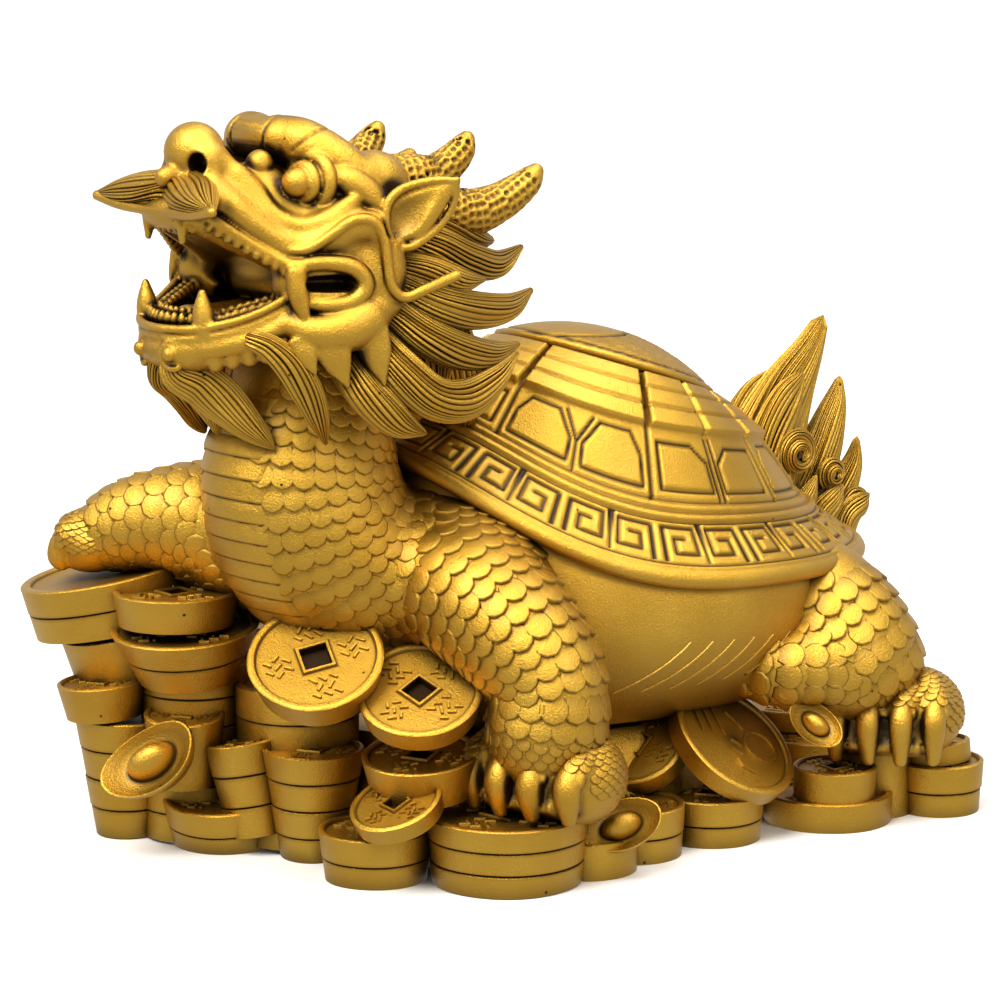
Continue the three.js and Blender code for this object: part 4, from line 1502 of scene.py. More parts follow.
def scale_shape():
    """One scale, a unit wide: a rounded shield, proud at its free end and sunk at its root."""
    half = [(0.3, -0.6), (0.55, -0.16), (0.57, 0.18), (0.36, 0.47)]
    outline = np.array([(-x, y) for x, y in half] + [(0, 0.6)] + half[::-1])
    count = len(outline)

    def height(xy, extra):
        return 0.03 + 0.15 * xy[:, 1] - 0.07 * xy[:, 0] ** 2 + extra

    lower = np.column_stack([outline * 0.97, height(outline, -0.3)])
    upper = np.column_stack([outline, height(outline, 0.0)])
    inner = outline * 0.86
    inner = np.column_stack([inner, height(inner, 0.025)])
    middle = np.array([[0, 0.02, height(np.array([[0, 0.02]]), 0.02)[0]]])
    points = np.vstack([lower, upper, inner, middle])
    ring = np.arange(count)
    after = (ring + 1) % count
    quads = np.vstack(
        [
            np.stack([ring + a, ring + b, after + b, after + a], -1)
            for a, b in ((0, count), (count, 2 * count))
        ]
    )
    crown = np.stack([ring + 2 * count, np.full(count, 3 * count), after + 2 * count], -1)
    # Painted shade and wash: each scale darkens towards its root, where the row above would shade it, and
    # its skirt under the edge is darkest.
    root = np.clip(0.3 - 1.4 * outline[:, 1], 0.3, 0.9)
    hollow = np.concatenate([np.full(count, 1.0), root, root * 0.6 - 0.12, [0.05]])
    return points, quads, crown, hollow


def scaled_limbs():
    """Stations, thin direction and share of the usual scale width, limb by limb."""
    yield NECK[::-1], (0, 1, 0), 1.0
    yield LEFT_FORELEG, (0, 1, 0), 1.1
    yield RIGHT_FORELEG, (0, 0, 1), 1.1
    for stations, flat, grow in (
        (THIGH, (0, 1, 0), 1.12), (KNEE, (0, 0, 1), 1.05), (SHOULDER, (0, 1, 0), 1.0)
    ):
        for side in SIDES:
            yield mirrored(stations, side), flat, grow


def scale_places():
    """Places, outward directions, flow and widths of the scales on neck and legs."""
    form = body_form()
    width = bpy.context.scene.dragon_turtle_skin.scale_width / UNIT
    kept, flows, sizes = [], [], []
    for stations, flat, grow in scaled_limbs():
        run = spline(stations, 10)
        across, through = limb_frames(run, flat)
        lengths = along_run(run[:, :3])
        own = width * grow
        pitch = own * 0.62
        for row in range(int(lengths[-1] / pitch) + 1):
            at = row * pitch
            before, centre, after = (
                np.array([np.interp(place, lengths, column) for column in run.T])
                for place in (at - 1, at, at + 1)
            )
            near = int(np.argmin(np.abs(lengths - at)))
            count = int(math.pi * (centre[3] + centre[4]) / (own * 0.93))
            angles = 2 * math.pi * (np.arange(count) + 0.5 * (row % 2)) / count
            spots = centre[:3] + np.outer(np.cos(angles) * centre[3], across[near])
            spots = spots + np.outer(np.sin(angles) * centre[4], through[near])
            # Places that lie deep inside another limb get no scale.
            spots = spots[form.sample(spots) > -4.5]
            for _ in range(4):
                spots = spots - form.outward(spots) * form.sample(spots)[:, None]
            kept.append(spots)
            flows.append(np.tile((after - before)[:3], (len(spots), 1)))
            sizes.append(np.full(len(spots), own))
    kept, flows, sizes = (np.concatenate(part) for part in (kept, flows, sizes))
    outs = form.outward(kept)
    x, y, z = kept.T
    on_paw = np.linalg.norm(kept - RIGHT_FORELEG[-1][:3], axis=1) < 8.5
    throat = (np.abs(x) < 9.6) & (outs[:, 1] < -0.2) & (y < -50)
    turn = np.arctan2((y - SHELL_MIDDLE) / 63, x / 54)
    under_shell = (z > rim_line(turn)[:, 2] - 3) & (y > -22)
    low = z < np.where(y < 0, 33, 31)
    chosen = []
    for i in np.flatnonzero(~(on_paw | throat | under_shell | low)):
        gaps = np.sum((kept[chosen] - kept[i]) ** 2, axis=1)
        if np.all(gaps >= (0.56 * sizes[i]) ** 2):
            chosen.append(i)
    found = [kept[chosen], outs[chosen], unit_rows(flows[chosen]), sizes[chosen]]
    return [np.concatenate(pair) for pair in zip(found, paw_scales(0.56 * width))]


def paw_scales(width):
    """Small scales over the top of each paw: places, outward directions, flow and widths."""
    forms = (body_form(), paws_form())
    found = []
    for x, y, z, heading, half, deep, high, *_ in [*PAWS, HELD_OUT_PAW]:
        cos, sin = math.cos(math.radians(heading)), math.sin(math.radians(heading))
        turn = np.linspace(-2.3, 2.3, 300)
        oval = np.column_stack([(half + 1) * np.sin(turn), deep * np.cos(turn)])
        lengths = along_run(oval)
        for row in range(13):
            rise = math.radians(row * 7.5 - 22)
            at = np.arange(0.5 * (row % 2), lengths[-1] / width) * width
            along, ahead = (np.interp(at, lengths, oval[:, k]) for k in (0, 1))
            level = np.column_stack([cos * ahead - sin * along, sin * ahead + cos * along])
            middle = np.array([x, y, z + 0.1 * high])
            above = np.full(len(at), 3 * high * math.sin(rise))
            start = middle + np.column_stack([level * 3 * math.cos(rise), above])
            aim = middle + np.column_stack([0.3 * level, np.full(len(at), 0.2 * high)])
            # Each place moves inwards from outside until it meets the skin.
            way = unit_rows(aim - start)
            for _ in range(16):
                far = np.stack([form.sample(start) for form in forms])
                start = start + way * np.clip(far.min(0), -1, 4)[:, None]
            outs = np.stack([form.outward(start) for form in forms])
            out = np.where((far[1] < far[0])[:, None], outs[1], outs[0])
            down = np.column_stack([unit_rows(level) * math.sin(rise), np.full(len(at), -math.cos(rise))])
            reach = (start[:, :2] - (x, y)) @ (-sin, cos)
            front = (ahead > 0.2 * deep) & (np.abs(reach) < 0.99 * half)
            lowest = np.where(front, z + 0.42 * high + 0.6, z - 0.75 * high)
            good = (np.abs(far.min(0)) < 0.2) & (start[:, 2] > lowest) & (start[:, 2] < z + high + 1)
            found.append([start[good], out[good], down[good], np.full(int(good.sum()), width)])
    return [np.concatenate(part) for part in zip(*found)]


def scale_tree(material):
    """A node tree that sets one scale on each point, turned and sized by the point's own values."""
    tree = bpy.data.node_groups.new("scale_cover", "GeometryNodeTree")
    inputs = {"Points": "Geometry", "Scale shape": "Object", "Size variation": "Float"}
    sockets = {
        name: tree.interface.new_socket(name, in_out="INPUT", socket_type="NodeSocket" + kind)
        for name, kind in inputs.items()
    }
    tree.interface.new_socket("Cover", in_out="OUTPUT", socket_type="NodeSocketGeometry")
    given = tree.nodes.new("NodeGroupInput")
    body = add_node(tree, "GeometryNodeObjectInfo", {"Object": given.outputs["Scale shape"]})
    named = "GeometryNodeInputNamedAttribute"
    turn = add_node(tree, named, {"Name": "turn"}, data_type="FLOAT_VECTOR").outputs[0]
    size = add_node(tree, named, {"Name": "size"}, data_type="FLOAT").outputs[0]
    vary = {0: 1.0, 1: given.outputs["Size variation"]}
    low = add_node(tree, "ShaderNodeMath", vary, operation="SUBTRACT").outputs[0]
    high = add_node(tree, "ShaderNodeMath", vary, operation="ADD").outputs[0]
    limits = {"Min": low, "Max": high, "Seed": 7}
    share = add_node(tree, "FunctionNodeRandomValue", limits, data_type="FLOAT").outputs[1]
    placing = {
        "Points": given.outputs["Points"],
        "Instance": body.outputs["Geometry"],
        "Rotation": add_node(tree, "FunctionNodeEulerToRotation", {0: turn}).outputs[0],
        "Scale": add_node(tree, "ShaderNodeMath", {0: size, 1: share}, operation="MULTIPLY").outputs[0],
    }
    cover = add_node(tree, "GeometryNodeInstanceOnPoints", placing)
    real = add_node(tree, "GeometryNodeRealizeInstances", {"Geometry": cover.outputs[0]})
    dressed = add_node(
        tree, "GeometryNodeSetMaterial", {"Geometry": real.outputs[0], "Material": material}
    )
    add_node(tree, "NodeGroupOutput", {0: dressed.outputs[0]})
    return tree, {key: socket.identifier for key, socket in sockets.items()}


def scales_piece():
    """Overlapping scales on the neck, the chest and the legs."""
    points, quads, crown, hollow = scale_shape()
    shape = new_piece("one_scale", points / UNIT, [quads, crown], hollow)
    places, outs, flows, sizes = scale_places()
    side = unit_rows(np.cross(flows, outs))
    flow = np.cross(outs, side)
    turns = [Matrix(np.stack([s, f, o], -1).tolist()).to_euler() for s, f, o in zip(side, flow, outs)]
    mesh = bpy.data.meshes.new("scale_places")
    mesh.from_pydata((places * UNIT).tolist(), [], [])
    layer = mesh.attributes.new("turn", "FLOAT_VECTOR", "POINT")
    layer.data.foreach_set("vector", np.array(turns, np.float32).ravel())
    mark(mesh, "size", sizes * UNIT)
    holder = placed("scale_places", mesh)
    tree, sockets = scale_tree(antique_gold())
    cover = holder.modifiers.new("cover", "NODES")
    cover.node_group = tree
    cover[sockets["Scale shape"]] = shape
    cover[sockets["Size variation"]] = SIZE_VARIATION
    graph = bpy.context.evaluated_depsgraph_get()
    real = bpy.data.meshes.new_from_object(holder.evaluated_get(graph))
    real.name = "scales"
    real.polygons.foreach_set("use_smooth", np.full(len(real.polygons), True))
    piece = placed("scales", real)
    for spare in (holder, shape):
        bpy.data.objects.remove(spare)
    return finish_piece(piece)


def throat_piece():
    """Broad smooth plates down the front of the neck, each lapping the next."""
    form = body_form()
    columns, rows = 24, 190
    heights = np.linspace(103, 44, rows)
    across = np.linspace(-1, 1, columns)
    wide = 10.4 + 1.2 * np.sin(np.linspace(0, math.pi, rows))
    forwards = np.linspace(-100, -40, 121)
    front = np.zeros((rows, columns))
    count = len(forwards)
    for (i, z), (j, u) in product(enumerate(heights), enumerate(across)):
        line = np.column_stack([np.full(count, u * wide[i]), forwards, np.full(count, z)])
        inside = form.sample(line)
        hit = int(np.argmax(inside < 0))
        first = max(hit - 1, 0)
        gap = inside[first] - inside[hit] + 1e-9
        front[i, j] = forwards[first] + 0.5 * inside[first] / gap if hit else -40
    lengths = np.concatenate(
        [[0], np.cumsum(np.hypot(np.diff(heights), np.diff(front[:, columns // 2])))]
    )
    pitch = 4.6
    phase = (lengths / pitch)[:, None] + 0.12 * (1 - across**2)[None, :]
    saw = phase - np.floor(phase)
    plate = 0.3 + 0.75 * saw**0.7 - 1.05 * np.clip((saw - 0.9) * 10, 0, 1) ** 2
    edge = np.clip((1 - np.abs(across)) * 9, 0, 1)[None, :]
    bead = 0.5 * np.clip(1 - np.abs(np.abs(across) - 0.93) * 14, 0, 1)[None, :]
    proud = plate * edge + bead
    outer = np.stack([across[None, :] * wide[:, None], front - proud, heights[:, None] + 0 * front], -1)
    inner = outer + (0, 3.0, 0)
    ring_rows = [np.vstack([o, i[::-1]]) for o, i in zip(outer, inner)]
    points, quads, caps = closed_rows(ring_rows)
    dark = np.clip(saw * 12 - 10.6, 0, 1) + np.clip(0.35 - saw * 6, 0, 1)
    dark = np.hstack([dark, np.zeros_like(dark)]).ravel()
    return finish_piece(new_piece("throat_plates", points, [quads, caps], np.append(dark, [0, 0])))


# Coins and ingots.


def laid(points, x, y, z, lean, heading, spin):
    """Points spun about the upright, tipped by lean degrees towards heading and moved to their place."""
    cos, sin = math.cos(math.radians(spin)), math.sin(math.radians(spin))
    spun = np.array(points, float)
    spun[:, :2] = spun[:, :2] @ np.array([[cos, sin], [-sin, cos]])
    way = math.radians(heading)
    axis = Vector((-math.sin(way), math.cos(way), 0))
    turn = np.array(Matrix.Rotation(math.radians(lean), 3, axis))
    return spun @ turn.T + (x, y, z)


# How far a coin's face lies below its rim.
SUNK = 0.75


def stroke(gathered, ends, width, move):
    """A low ridge with sloping sides between two points of a coin's face."""
    a, b = (np.array(end) for end in ends)
    along = (b - a) / np.linalg.norm(b - a)
    side = np.array((-along[1], along[0])) * width / 2
    a = a - along * width * 0.3
    b = b + along * width * 0.3
    floor = [a - side, b - side, b + side, a + side]
    side = side * 0.55
    slope = along * 0.1
    roof = [a - side + slope, b - side - slope, b + side - slope, a + side + slope]
    points = [(*p, -SUNK - 0.3) for p in floor] + [(*p, -SUNK + 0.5) for p in roof]
    quads = [(3, 2, 1, 0), (4, 5, 6, 7), (0, 1, 5, 4), (1, 2, 6, 5), (2, 3, 7, 6), (3, 0, 4, 7)]
    gathered.add(move(points), quads, hollow=np.repeat([0.9, 0.0], 4))


# The coin that leans on the right has rays, a beam and wisps, in shares of its radius.
RAYS = [
    ((-0.62, -0.47), (-0.15, -0.55)),
    ((-0.66, -0.3), (-0.06, -0.36)),
    ((-0.68, -0.13), (-0.08, -0.16)),
    ((-0.5, 0.12), (-0.34, 0.22)),
    ((-0.34, 0.22), (-0.18, 0.26)),
    ((-0.68, 0.1), (-0.62, 0.12)),
    ((0.0, -0.08), (0.12, 0.04)),
    ((0.16, -0.16), (0.28, -0.04)),
    ((0.34, -0.16), (0.48, -0.14)),
    ((0.48, -0.14), (0.6, 0.02)),
]
SUN = (0.14, 0.42, 0.27)


def mark_rows(turn, rng):
    """Three rows of short slanting strokes, in shares of a mark's room. None is a letter."""
    for row in range(3):
        count = 2 + (row + turn) % 2
        lean = 0.14 - 0.28 * ((row + turn) % 2)
        for i in range(count):
            x = (i - (count - 1) / 2) * 0.62 + rng.uniform(-0.05, 0.05)
            y = 0.64 * (1 - row)
            half = rng.uniform(0.14, 0.22)
            yield (x - lean, y - half), (x + lean, y + half)


def coin(
    gathered,
    x,
    y,
    z,
    radius,
    lean=0,
    heading=0,
    count=1,
    thick=4.9,
    taper=0,
    spin=0,
    sides=64,
    face="marks",
):
    """A stack of round coins: x, y and z are the middle of its upper face."""
    rng = np.random.default_rng(int(abs(x * 7 + y * 13 + z * 3)))
    angle = np.arange(sides) * 2 * math.pi / sides
    worn = 1 + 0.006 * np.sin(2 * angle + rng.uniform(0, 6)) + 0.005 * np.sin(
        5 * angle + rng.uniform(0, 6)
    )
    circle = np.stack([np.cos(angle), np.sin(angle)], -1)
    half = radius * 0.2
    square = circle / np.abs(circle).max(axis=1)[:, None] * half

    def move(points):
        return laid(points, x, y, z, lean, heading, spin)

    # Each ring of the turned form, with its height and how dark it is.
    rim = radius * 0.115 + 0.2
    rows = [
        (square * 0.95, -2.2, 1.0),
        (square, -SUNK, 1.0),
        (square * 1.02, -SUNK + 0.55, 0.0),
        (square * 1.2, -SUNK + 0.55, 0.0),
        (square * 1.27, -SUNK, 0.9),
        (square * 1.45, -SUNK, 0.2),
    ]
    if face != "marks":
        rows = [(circle * radius * 0.3, -SUNK, 0.2)]
    rows += [(circle * radius * share, -SUNK, 0.2) for share in (0.55, 0.8)]
    rows += [
        (circle * (radius - rim - 0.4), -SUNK, 0.3),
        (circle * (radius - rim), -SUNK, 0.9),
        (circle * (radius - rim + 0.35), -0.12, 0.0),
        (circle * (radius - 0.85), 0.0, 0.0),
    ]
    lean_in = taper * 0.55
    for i in range(count):
        bulge = 1 + 0.004 * np.sin(3 * angle + 2 * i)
        wide = ((radius - lean_in * i - 0.22 * (i % 2)) * worn * bulge)[:, None]
        top = -thick * i
        rows += [
            (circle * (wide - 0.28), top - (0.16 if i else 0.1), float(i > 0)),
            (circle * wide, top - 0.36, 0.3 * (i > 0)),
            (circle * (wide - lean_in * 0.12), top - 0.36 - thick * 0.12, 0.0),
            (circle * (wide - lean_in * 0.86), top - thick * 0.88, 0.0),
            (circle * (wide - lean_in * 0.94), top - thick + 0.2, 0.3 * (i < count - 1)),
            (circle * (wide - lean_in - 0.5), top - thick + 0.02, 1.0),
        ]
    rows.append((circle * radius * 0.6, -thick * count, 1.0))
    values = np.repeat([value for *_, value in rows], sides)
    flat = np.vstack([np.column_stack([ring, np.full(sides, height)]) for ring, height, _ in rows])
    points, quads, caps = closed_rows(move(flat).reshape(len(rows), sides, 3), flip=True)
    gathered.add(points, quads, caps, np.concatenate([values, [1.0, 1.0]]))
    wide = radius * 0.045 + 0.15
    if face == "sun":
        turns = np.linspace(0, 2 * math.pi, 17)
        ring = np.stack([SUN[0] + SUN[2] * np.cos(turns), SUN[1] + SUN[2] * np.sin(turns)], -1)
        for ends in [*RAYS, *zip(ring, ring[1:])]:
            stroke(gathered, np.array(ends) * radius, wide, move)
    if face != "marks":
        return
    middle = (radius - rim + half * 1.25) / 2
    room = (radius - rim - half * 1.25) * 0.36
    for k in range(4):
        turn = math.pi / 2 * k
        cos, sin = math.cos(turn), math.sin(turn)
        for mark_ends in mark_rows(k, rng):
            ends = []
            for px, py in mark_ends:
                gx = px * room * 1.15
                gy = middle + py * room
                ends.append((gx * cos - gy * sin, gx * sin + gy * cos))
            stroke(gathered, ends, wide, move)


def ingot(gathered, x, y, z, half_length, lean=0, heading=0, spin=0):
    """A boat-shaped ingot with a round button in it."""
    sides = 56
    angle = np.arange(sides) * 2 * math.pi / sides
    height = half_length * 0.55
    profile = [
        (0.02, 0.74),
        (0.14, 0.72),
        (0.28, 0.62),
        (0.39, 0.42),
        (0.46, 0.16),
        (0.49, -0.06),
        (0.53, -0.16),
        (0.6, -0.16),
        (0.78, -0.06),
        (0.9, 0.06),
        (0.95, 0.12),
        (0.985, 0.1),
        (1.0, 0.0),
        (0.94, -0.3),
        (0.8, -0.7),
        (0.6, -0.97),
        (0.4, -1.0),
    ]
    rows = []
    dish = []
    for out, up in profile:
        px = out * half_length * np.cos(angle)
        py = out * half_length * 0.62 * np.sin(angle)
        pz = up * height + half_length * 0.2 * (out * np.cos(angle)) ** 2
        rows.append(np.stack([px, py, pz], -1))
        # The wash stands round the button and thins out over the dish.
        dish.append((0.9 if out < 0.56 else 0.35) if 0.45 < out < 0.8 and up < 0 else 0.0)
    flat = laid(np.vstack(rows), x, y, z, lean, heading, spin)
    points, quads, caps = closed_rows(flat.reshape(len(rows), sides, 3), flip=True)
    gathered.add(points, quads, caps, np.concatenate([np.repeat(dish, sides), [0.0, 1.0]]))


def front_treasure():
    """The coins that show from the front and the left."""
    heap = Gathered()
    coin(heap, -40, -83.5, 27, 11.4, count=4, thick=6.75, taper=1.9, face="plain")
    coin(heap, -30, -72, 39.4, 12, count=6, thick=6.5, face="plain")
    coin(heap, -19.5, -71.4, 11, 13.6, count=2, thick=5.8, lean=6, heading=-50, taper=1.6)
    coin(heap, 1, -62, 24.2, 11.1, count=4, thick=6.2, taper=1.7, spin=30)
    coin(heap, 23, -61.5, 11, 12.2, count=2, thick=6, taper=1.2, spin=20)
    coin(heap, 41.6, -40.6, 15, 17.4, count=3, thick=5, taper=0.9, spin=12, sides=96)
    coin(heap, 41.8, -6, 11.4, 11.4, count=2, thick=6, taper=0.4, spin=50)
    coin(heap, 42.2, 16, 10.4, 11.8, count=2, thick=5.6, taper=0.4, spin=35)
    coin(heap, 46.7, 47, 6.6, 14.6, thick=7.5, taper=0.4)
    coin(heap, 51, 45, 13.4, 9.4, thick=8, taper=0.6)
    coin(heap, 55.7, 72.6, 11.7, 10.4, count=2, thick=6.3, taper=0.6)
    coin(heap, 54, 72, 15.6, 8.6, lean=6, heading=200)
    coin(heap, 48, 60, 15, 9, thick=16, face="plain")
    coin(heap, 45, -22, 8, 11, thick=9, face="plain")
    coin(
        heap,
        -51.8,
        -80,
        57.4,
        20,
        count=2,
        thick=6.2,
        lean=11,
        heading=232,
        taper=1,
        face="plain",
        sides=96,
    )
    coin(heap, -46.5, -78, 45, 15.6, thick=11.4, lean=10, heading=232, taper=3, face="plain", sides=96)
    coin(heap, -40.4, -89.4, 35.4, 10, thick=8.2, lean=4, heading=232, taper=3, spin=20)
    coin(heap, -27, -78.4, 56.4, 13.8, thick=7.6, taper=2.4, sides=96)
    coin(heap, -26, -77, 48.6, 16.4, count=2, thick=6.2, lean=7, heading=-60, taper=5, sides=96)
    coin(heap, -22.6, -79.6, 30, 8.8, thick=16, lean=8, heading=-40, taper=3, spin=40)
    coin(heap, -13, -70.8, 24.4, 8.6, count=3, thick=7, lean=10, heading=200, taper=1.4)
    coin(heap, -11, -57.5, 36, 13.6, count=5, thick=7, face="plain")
    coin(heap, 16.6, -72.2, 48.6, 14.6, lean=38, heading=-44, thick=7.6, taper=3, spin=-22, sides=96)
    coin(heap, 32.4, -56.8, 42.2, 13.4, lean=34, heading=-42, thick=6, taper=2, spin=8, sides=96)
    coin(heap, 28.6, -53.6, 27.2, 12.8, lean=8, heading=-60, thick=9, taper=3, spin=25)
    coin(heap, 34, -64.5, 19.6, 10, lean=26, heading=-75, thick=4.4, taper=1)
    coin(heap, -34, -54, 45, 9.5, count=6, thick=7, face="plain")
    coin(heap, 31.5, 3, 21.6, 11.6, lean=42, heading=-62, spin=10)
    coin(heap, 45, 21, 22, 15.4, lean=42, heading=14, taper=0.8, face="sun", sides=96)
    return heap.piece("front_coins")


# The low mound's profile, from its middle out and down, as shares of its width and heights.
MOUND = [(0.1, 25), (0.6, 25), (0.74, 24.4), (0.8, 20), (0.9, 12), (0.98, 3), (1.0, 0.05), (0.6, 0.05)]


def rear_treasure():
    """The plainer stacks round the right side and the back, and the low mound inside."""
    heap = Gathered()
    for i in range(10):
        angle = math.radians(70 + i * 16.5)
        count = 2 + i % 2
        top = 4.9 * count - 0.15 * i
        x, y = 44 * math.cos(angle), 2 + 74 * math.sin(angle)
        radius = 12.9 + math.sin(i * 2.4)
        coin(heap, x, y, top, radius, count=count, thick=top / count, spin=23 * i, sides=44)
    coin(heap, -49, 57, 14, 13, count=3, thick=4.7)
    for i in range(3):
        coin(
            heap,
            -34,
            -40 + i * 30,
            23 + 3 * (i % 2),
            12.5,
            lean=22 + 8 * (i % 2),
            heading=180,
            spin=40 * i,
        )
    angle = np.arange(96) * 2 * math.pi / 96
    rows = []
    for share, height in MOUND:
        ripple = 1 + 0.02 * np.sin(9 * angle + height) + 0.012 * np.sin(17 * angle)
        x = 41 * share * ripple * np.cos(angle)
        y = 4 + 67 * share * ripple * np.sin(angle)
        rows.append(np.stack([x, y, np.full(len(angle), height)], -1))
    heap.add(*closed_rows(rows, flip=True))
    return heap.piece("rear_coins")


def ingots_piece():
    """The boat-shaped ingots among the coins."""
    heap = Gathered()
    ingot(heap, -18.4, -91, 21.6, 11.6, lean=62, heading=-62, spin=66)
    ingot(heap, 54.6, -20, 11, 9, lean=60, heading=-40, spin=70)
    ingot(heap, 57, 33.5, 25.6, 6.8, lean=66, heading=-40, spin=10)
    return heap.piece("ingots")


# Camera, floor and light.

VIEW_TURN = math.radians(52)
VIEW_RISE = math.radians(10.5)
VIEW_DISTANCE = 0.85
PIXELS_PER_METRE = 4500.0
PICTURE = 1000.0
VIEW_AIM = Vector((0, -0.010, 0.0723))
FLOOR_HALF = 6.0


def camera():
    """The camera where the photographer stood."""
    data = bpy.data.cameras.new("camera")
    data.sensor_width = 36
    data.lens = data.sensor_width * PIXELS_PER_METRE * VIEW_DISTANCE / PICTURE
    flat = math.cos(VIEW_RISE)
    away = Vector((math.sin(VIEW_TURN) * flat, -math.cos(VIEW_TURN) * flat, math.sin(VIEW_RISE)))
    eye = placed("camera", data)
    eye.location = VIEW_AIM + VIEW_DISTANCE * away
    eye.rotation_euler = away.to_track_quat("Z", "Y").to_euler()
    bpy.context.scene.camera = eye


def softbox(name, place, aim, size, power, colour):
    """A rectangular soft light aimed at a point."""
    data = bpy.data.lights.new(name, "AREA")
    data.shape = "RECTANGLE"
    data.size, data.size_y = size
    data.energy = power
    data.color = linear(colour)[:3]
    lamp = placed(name, data)
    lamp.location = place
    lamp.rotation_euler = (Vector(place) - Vector(aim)).to_track_quat("Z", "Y").to_euler()


def sun(name, direction, power, angle):
    """A wide soft sun from a direction."""
    data = bpy.data.lights.new(name, "SUN")
    data.energy = power
    data.angle = angle
    lamp = placed(name, data)
    lamp.rotation_euler = Vector(direction).to_track_quat("Z", "Y").to_euler()


def stage():
    """Camera, pale floor, an even sky, a soft sun and two softboxes."""
    camera()
    look = bpy.context.scene.dragon_turtle_stage
    mesh = bpy.data.meshes.new("floor")
    corners = [(FLOOR_HALF * x, FLOOR_HALF * y, 0) for x, y in ((-1, -1), (1, -1), (1, 1), (-1, 1))]
    mesh.from_pydata(corners, [], [(0, 1, 2, 3)])
    mesh.materials.append(studio_floor())
    floor = placed("floor", mesh)
    floor.visible_glossy = False
    world = bpy.data.worlds.new("studio")
    bpy.context.scene.world = world
    world.use_nodes = True
    bpy.context.scene.view_settings.view_transform = "Standard"
    sky = world.node_tree.nodes["Background"]
    sky.inputs["Color"].default_value = linear("ffffff")
    sky.inputs["Strength"].default_value = look.sky
    sun("key", (0.15, -0.85, 1.15), look.key_power, math.radians(34))
    softbox("side", (1.2, 0.1, 0.9), (0, 0, 0.06), (0.5, 0.5), 5.0, "fff6e6")
    softbox("top", (0.2, 0.25, 1.3), (0, 0.02, 0.09), (0.7, 0.7), 9.0, "ffffff")


# Settings.


def length(name, description, default):
    """A setting that is a length in metres."""
    return bpy.props.FloatProperty(
        name=name, description=description, default=default, min=0.0, unit="LENGTH"
    )


class DragonTurtleShell(bpy.types.PropertyGroup):
    """Sizes of the shell."""

    width: length("Width", "Width of the rim", 0.108)
    length: length("Length", "Length of the rim", 0.126)
    rim_height: length("Rim height", "Height of the rim at the sides", 0.061)
    rim_fall: length("Rim fall", "How much lower the rim is at the tail than at the sides", 0.003)
    neck_rise: length("Neck rise", "How much the rim rises over the neck", 0.024)
    cap_radius: length("Cap radius", "Radius of the round cap", 0.0248)
    cap_height: length("Cap height", "Height of the cap's edge", 0.1012)
    cap_crown: length("Cap crown", "Rise of the cap's middle over its edge", 0.007)
    belly_swell: length("Belly swell", "How far the flank swells below the rim", 0.007)


class DragonTurtleSkin(bpy.types.PropertyGroup):
    """Size of the scales."""

    scale_width: length("Scale width", "Width of one scale on the neck", 0.0048)


class DragonTurtleFinish(bpy.types.PropertyGroup):
    """Colours of the gold finish, as sRGB hex values."""

    bright: bpy.props.StringProperty(
        name="Bright gold", description="Colour of the paler gold", default="ecbc46"
    )
    deep: bpy.props.StringProperty(
        name="Deep gold", description="Colour of the deeper gold", default="c48f20"
    )
    # The wash colour also serves as painted shade in the hollows, at the scale roots and down the flank.
    wash: bpy.props.StringProperty(
        name="Wash", description="Colour of the dark wash in hollows", default="33200a"
    )


class DragonTurtleStage(bpy.types.PropertyGroup):
    """Light of the studio."""

    key_power: bpy.props.FloatProperty(
        name="Key light", description="Strength of the main light", default=3.1, min=0.0
    )
    sky: bpy.props.FloatProperty(
        name="Sky", description="Brightness of the surroundings", default=0.58, min=0.0
    )


# Operators.


class DRAGON_OT_stage(bpy.types.Operator):
    """Set up the camera, the floor and the lights"""

    bl_idname = "dragon.stage"
    bl_label = "Stage"

    def execute(self, context):
        stage()
        return {"FINISHED"}


class DRAGON_OT_shell(bpy.types.Operator):
    """Build the carved shell, its cap and the flank under the rim"""

    bl_idname = "dragon.shell"
    bl_label = "Shell"

    def execute(self, context):
        shell_piece()
        cap_piece()
        belly_piece()
        return {"FINISHED"}


class DRAGON_OT_body(bpy.types.Operator):
    """Sculpt the neck, chest, legs and paws, and lay the plates down the throat"""

    bl_idname = "dragon.body"
    bl_label = "Body"

    def execute(self, context):
        sculpted_piece("body", body_form())
        sculpted_piece("paws", paws_form())
        throat_piece()
        return {"FINISHED"}


class DRAGON_OT_scales(bpy.types.Operator):
    """Cover the neck, chest and legs with scales"""

    bl_idname = "dragon.scales"
    bl_label = "Scales"

    def execute(self, context):
        scales_piece()
        return {"FINISHED"}


class DRAGON_OT_head(bpy.types.Operator):
    """Sculpt the head and comb its moustache"""

    bl_idname = "dragon.head"
    bl_label = "Head"

    def execute(self, context):
        sculpted_piece("head", head_form())
        moustache_piece()
        return {"FINISHED"}


class DRAGON_OT_mane(bpy.types.Operator):
    """Comb the mane and beard, and sculpt the horns"""

    bl_idname = "dragon.mane"
    bl_label = "Mane and horns"

    def execute(self, context):
        mane_piece()
        beard_piece()
        sculpted_piece("horns", horns_form())
        return {"FINISHED"}


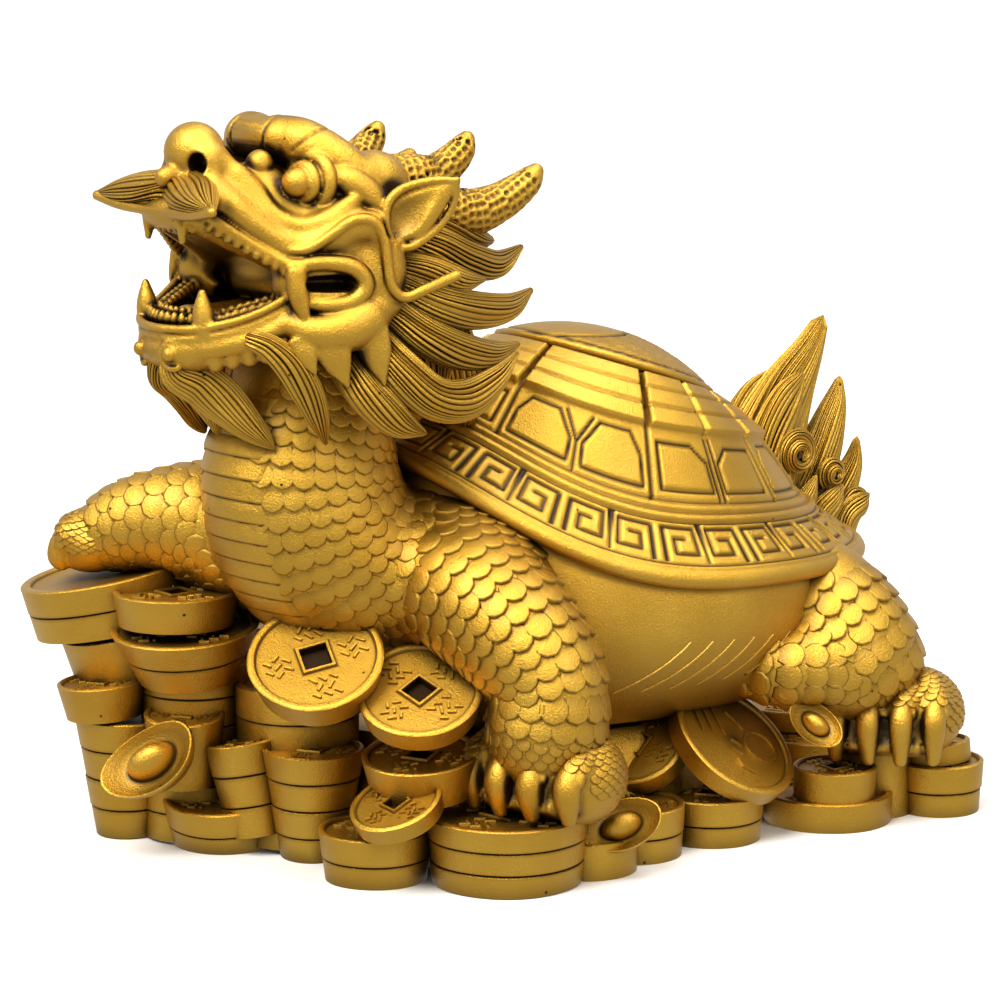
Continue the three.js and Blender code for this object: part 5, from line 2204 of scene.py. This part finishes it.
class DRAGON_OT_tail(bpy.types.Operator):
    """Comb the tail's locks and curls"""

    bl_idname = "dragon.tail"
    bl_label = "Tail"

    def execute(self, context):
        tail_piece()
        return {"FINISHED"}


class DRAGON_OT_treasure(bpy.types.Operator):
    """Build the heap of coins and ingots"""

    bl_idname = "dragon.treasure"
    bl_label = "Coins and ingots"

    def execute(self, context):
        front_treasure()
        rear_treasure()
        ingots_piece()
        return {"FINISHED"}


STEPS = (
    DRAGON_OT_stage,
    DRAGON_OT_shell,
    DRAGON_OT_body,
    DRAGON_OT_scales,
    DRAGON_OT_head,
    DRAGON_OT_mane,
    DRAGON_OT_tail,
    DRAGON_OT_treasure,
)


SETTINGS = {
    "dragon_turtle_shell": DragonTurtleShell,
    "dragon_turtle_skin": DragonTurtleSkin,
    "dragon_turtle_finish": DragonTurtleFinish,
    "dragon_turtle_stage": DragonTurtleStage,
}


class DRAGON_PT_panel(bpy.types.Panel):
    """Steps and settings of the casting"""

    bl_idname = "DRAGON_PT_panel"
    bl_label = "Dragon Turtle"
    bl_space_type = "VIEW_3D"
    bl_region_type = "UI"
    bl_category = "Dragon Turtle"

    def draw(self, context):
        for step in STEPS:
            self.layout.operator(step.bl_idname)
        for name, group in SETTINGS.items():
            for key in group.__annotations__:
                self.layout.prop(getattr(context.scene, name), key)


def register():
    """Registers the settings, the steps and the panel."""
    for name, group in SETTINGS.items():
        bpy.utils.register_class(group)
        setattr(bpy.types.Scene, name, bpy.props.PointerProperty(type=group))
    for item in (*STEPS, DRAGON_PT_panel):
        bpy.utils.register_class(item)


def unregister():
    """Takes away what register() added."""
    for item in reversed((*STEPS, DRAGON_PT_panel)):
        bpy.utils.unregister_class(item)
    for name, group in SETTINGS.items():
        delattr(bpy.types.Scene, name)
        bpy.utils.unregister_class(group)


def main():
    """Builds the scene."""
    register()
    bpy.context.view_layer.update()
    for step in STEPS:
        group, action = step.bl_idname.split(".")
        getattr(getattr(bpy.ops, group), action)()


if __name__ == "__main__":
    main()
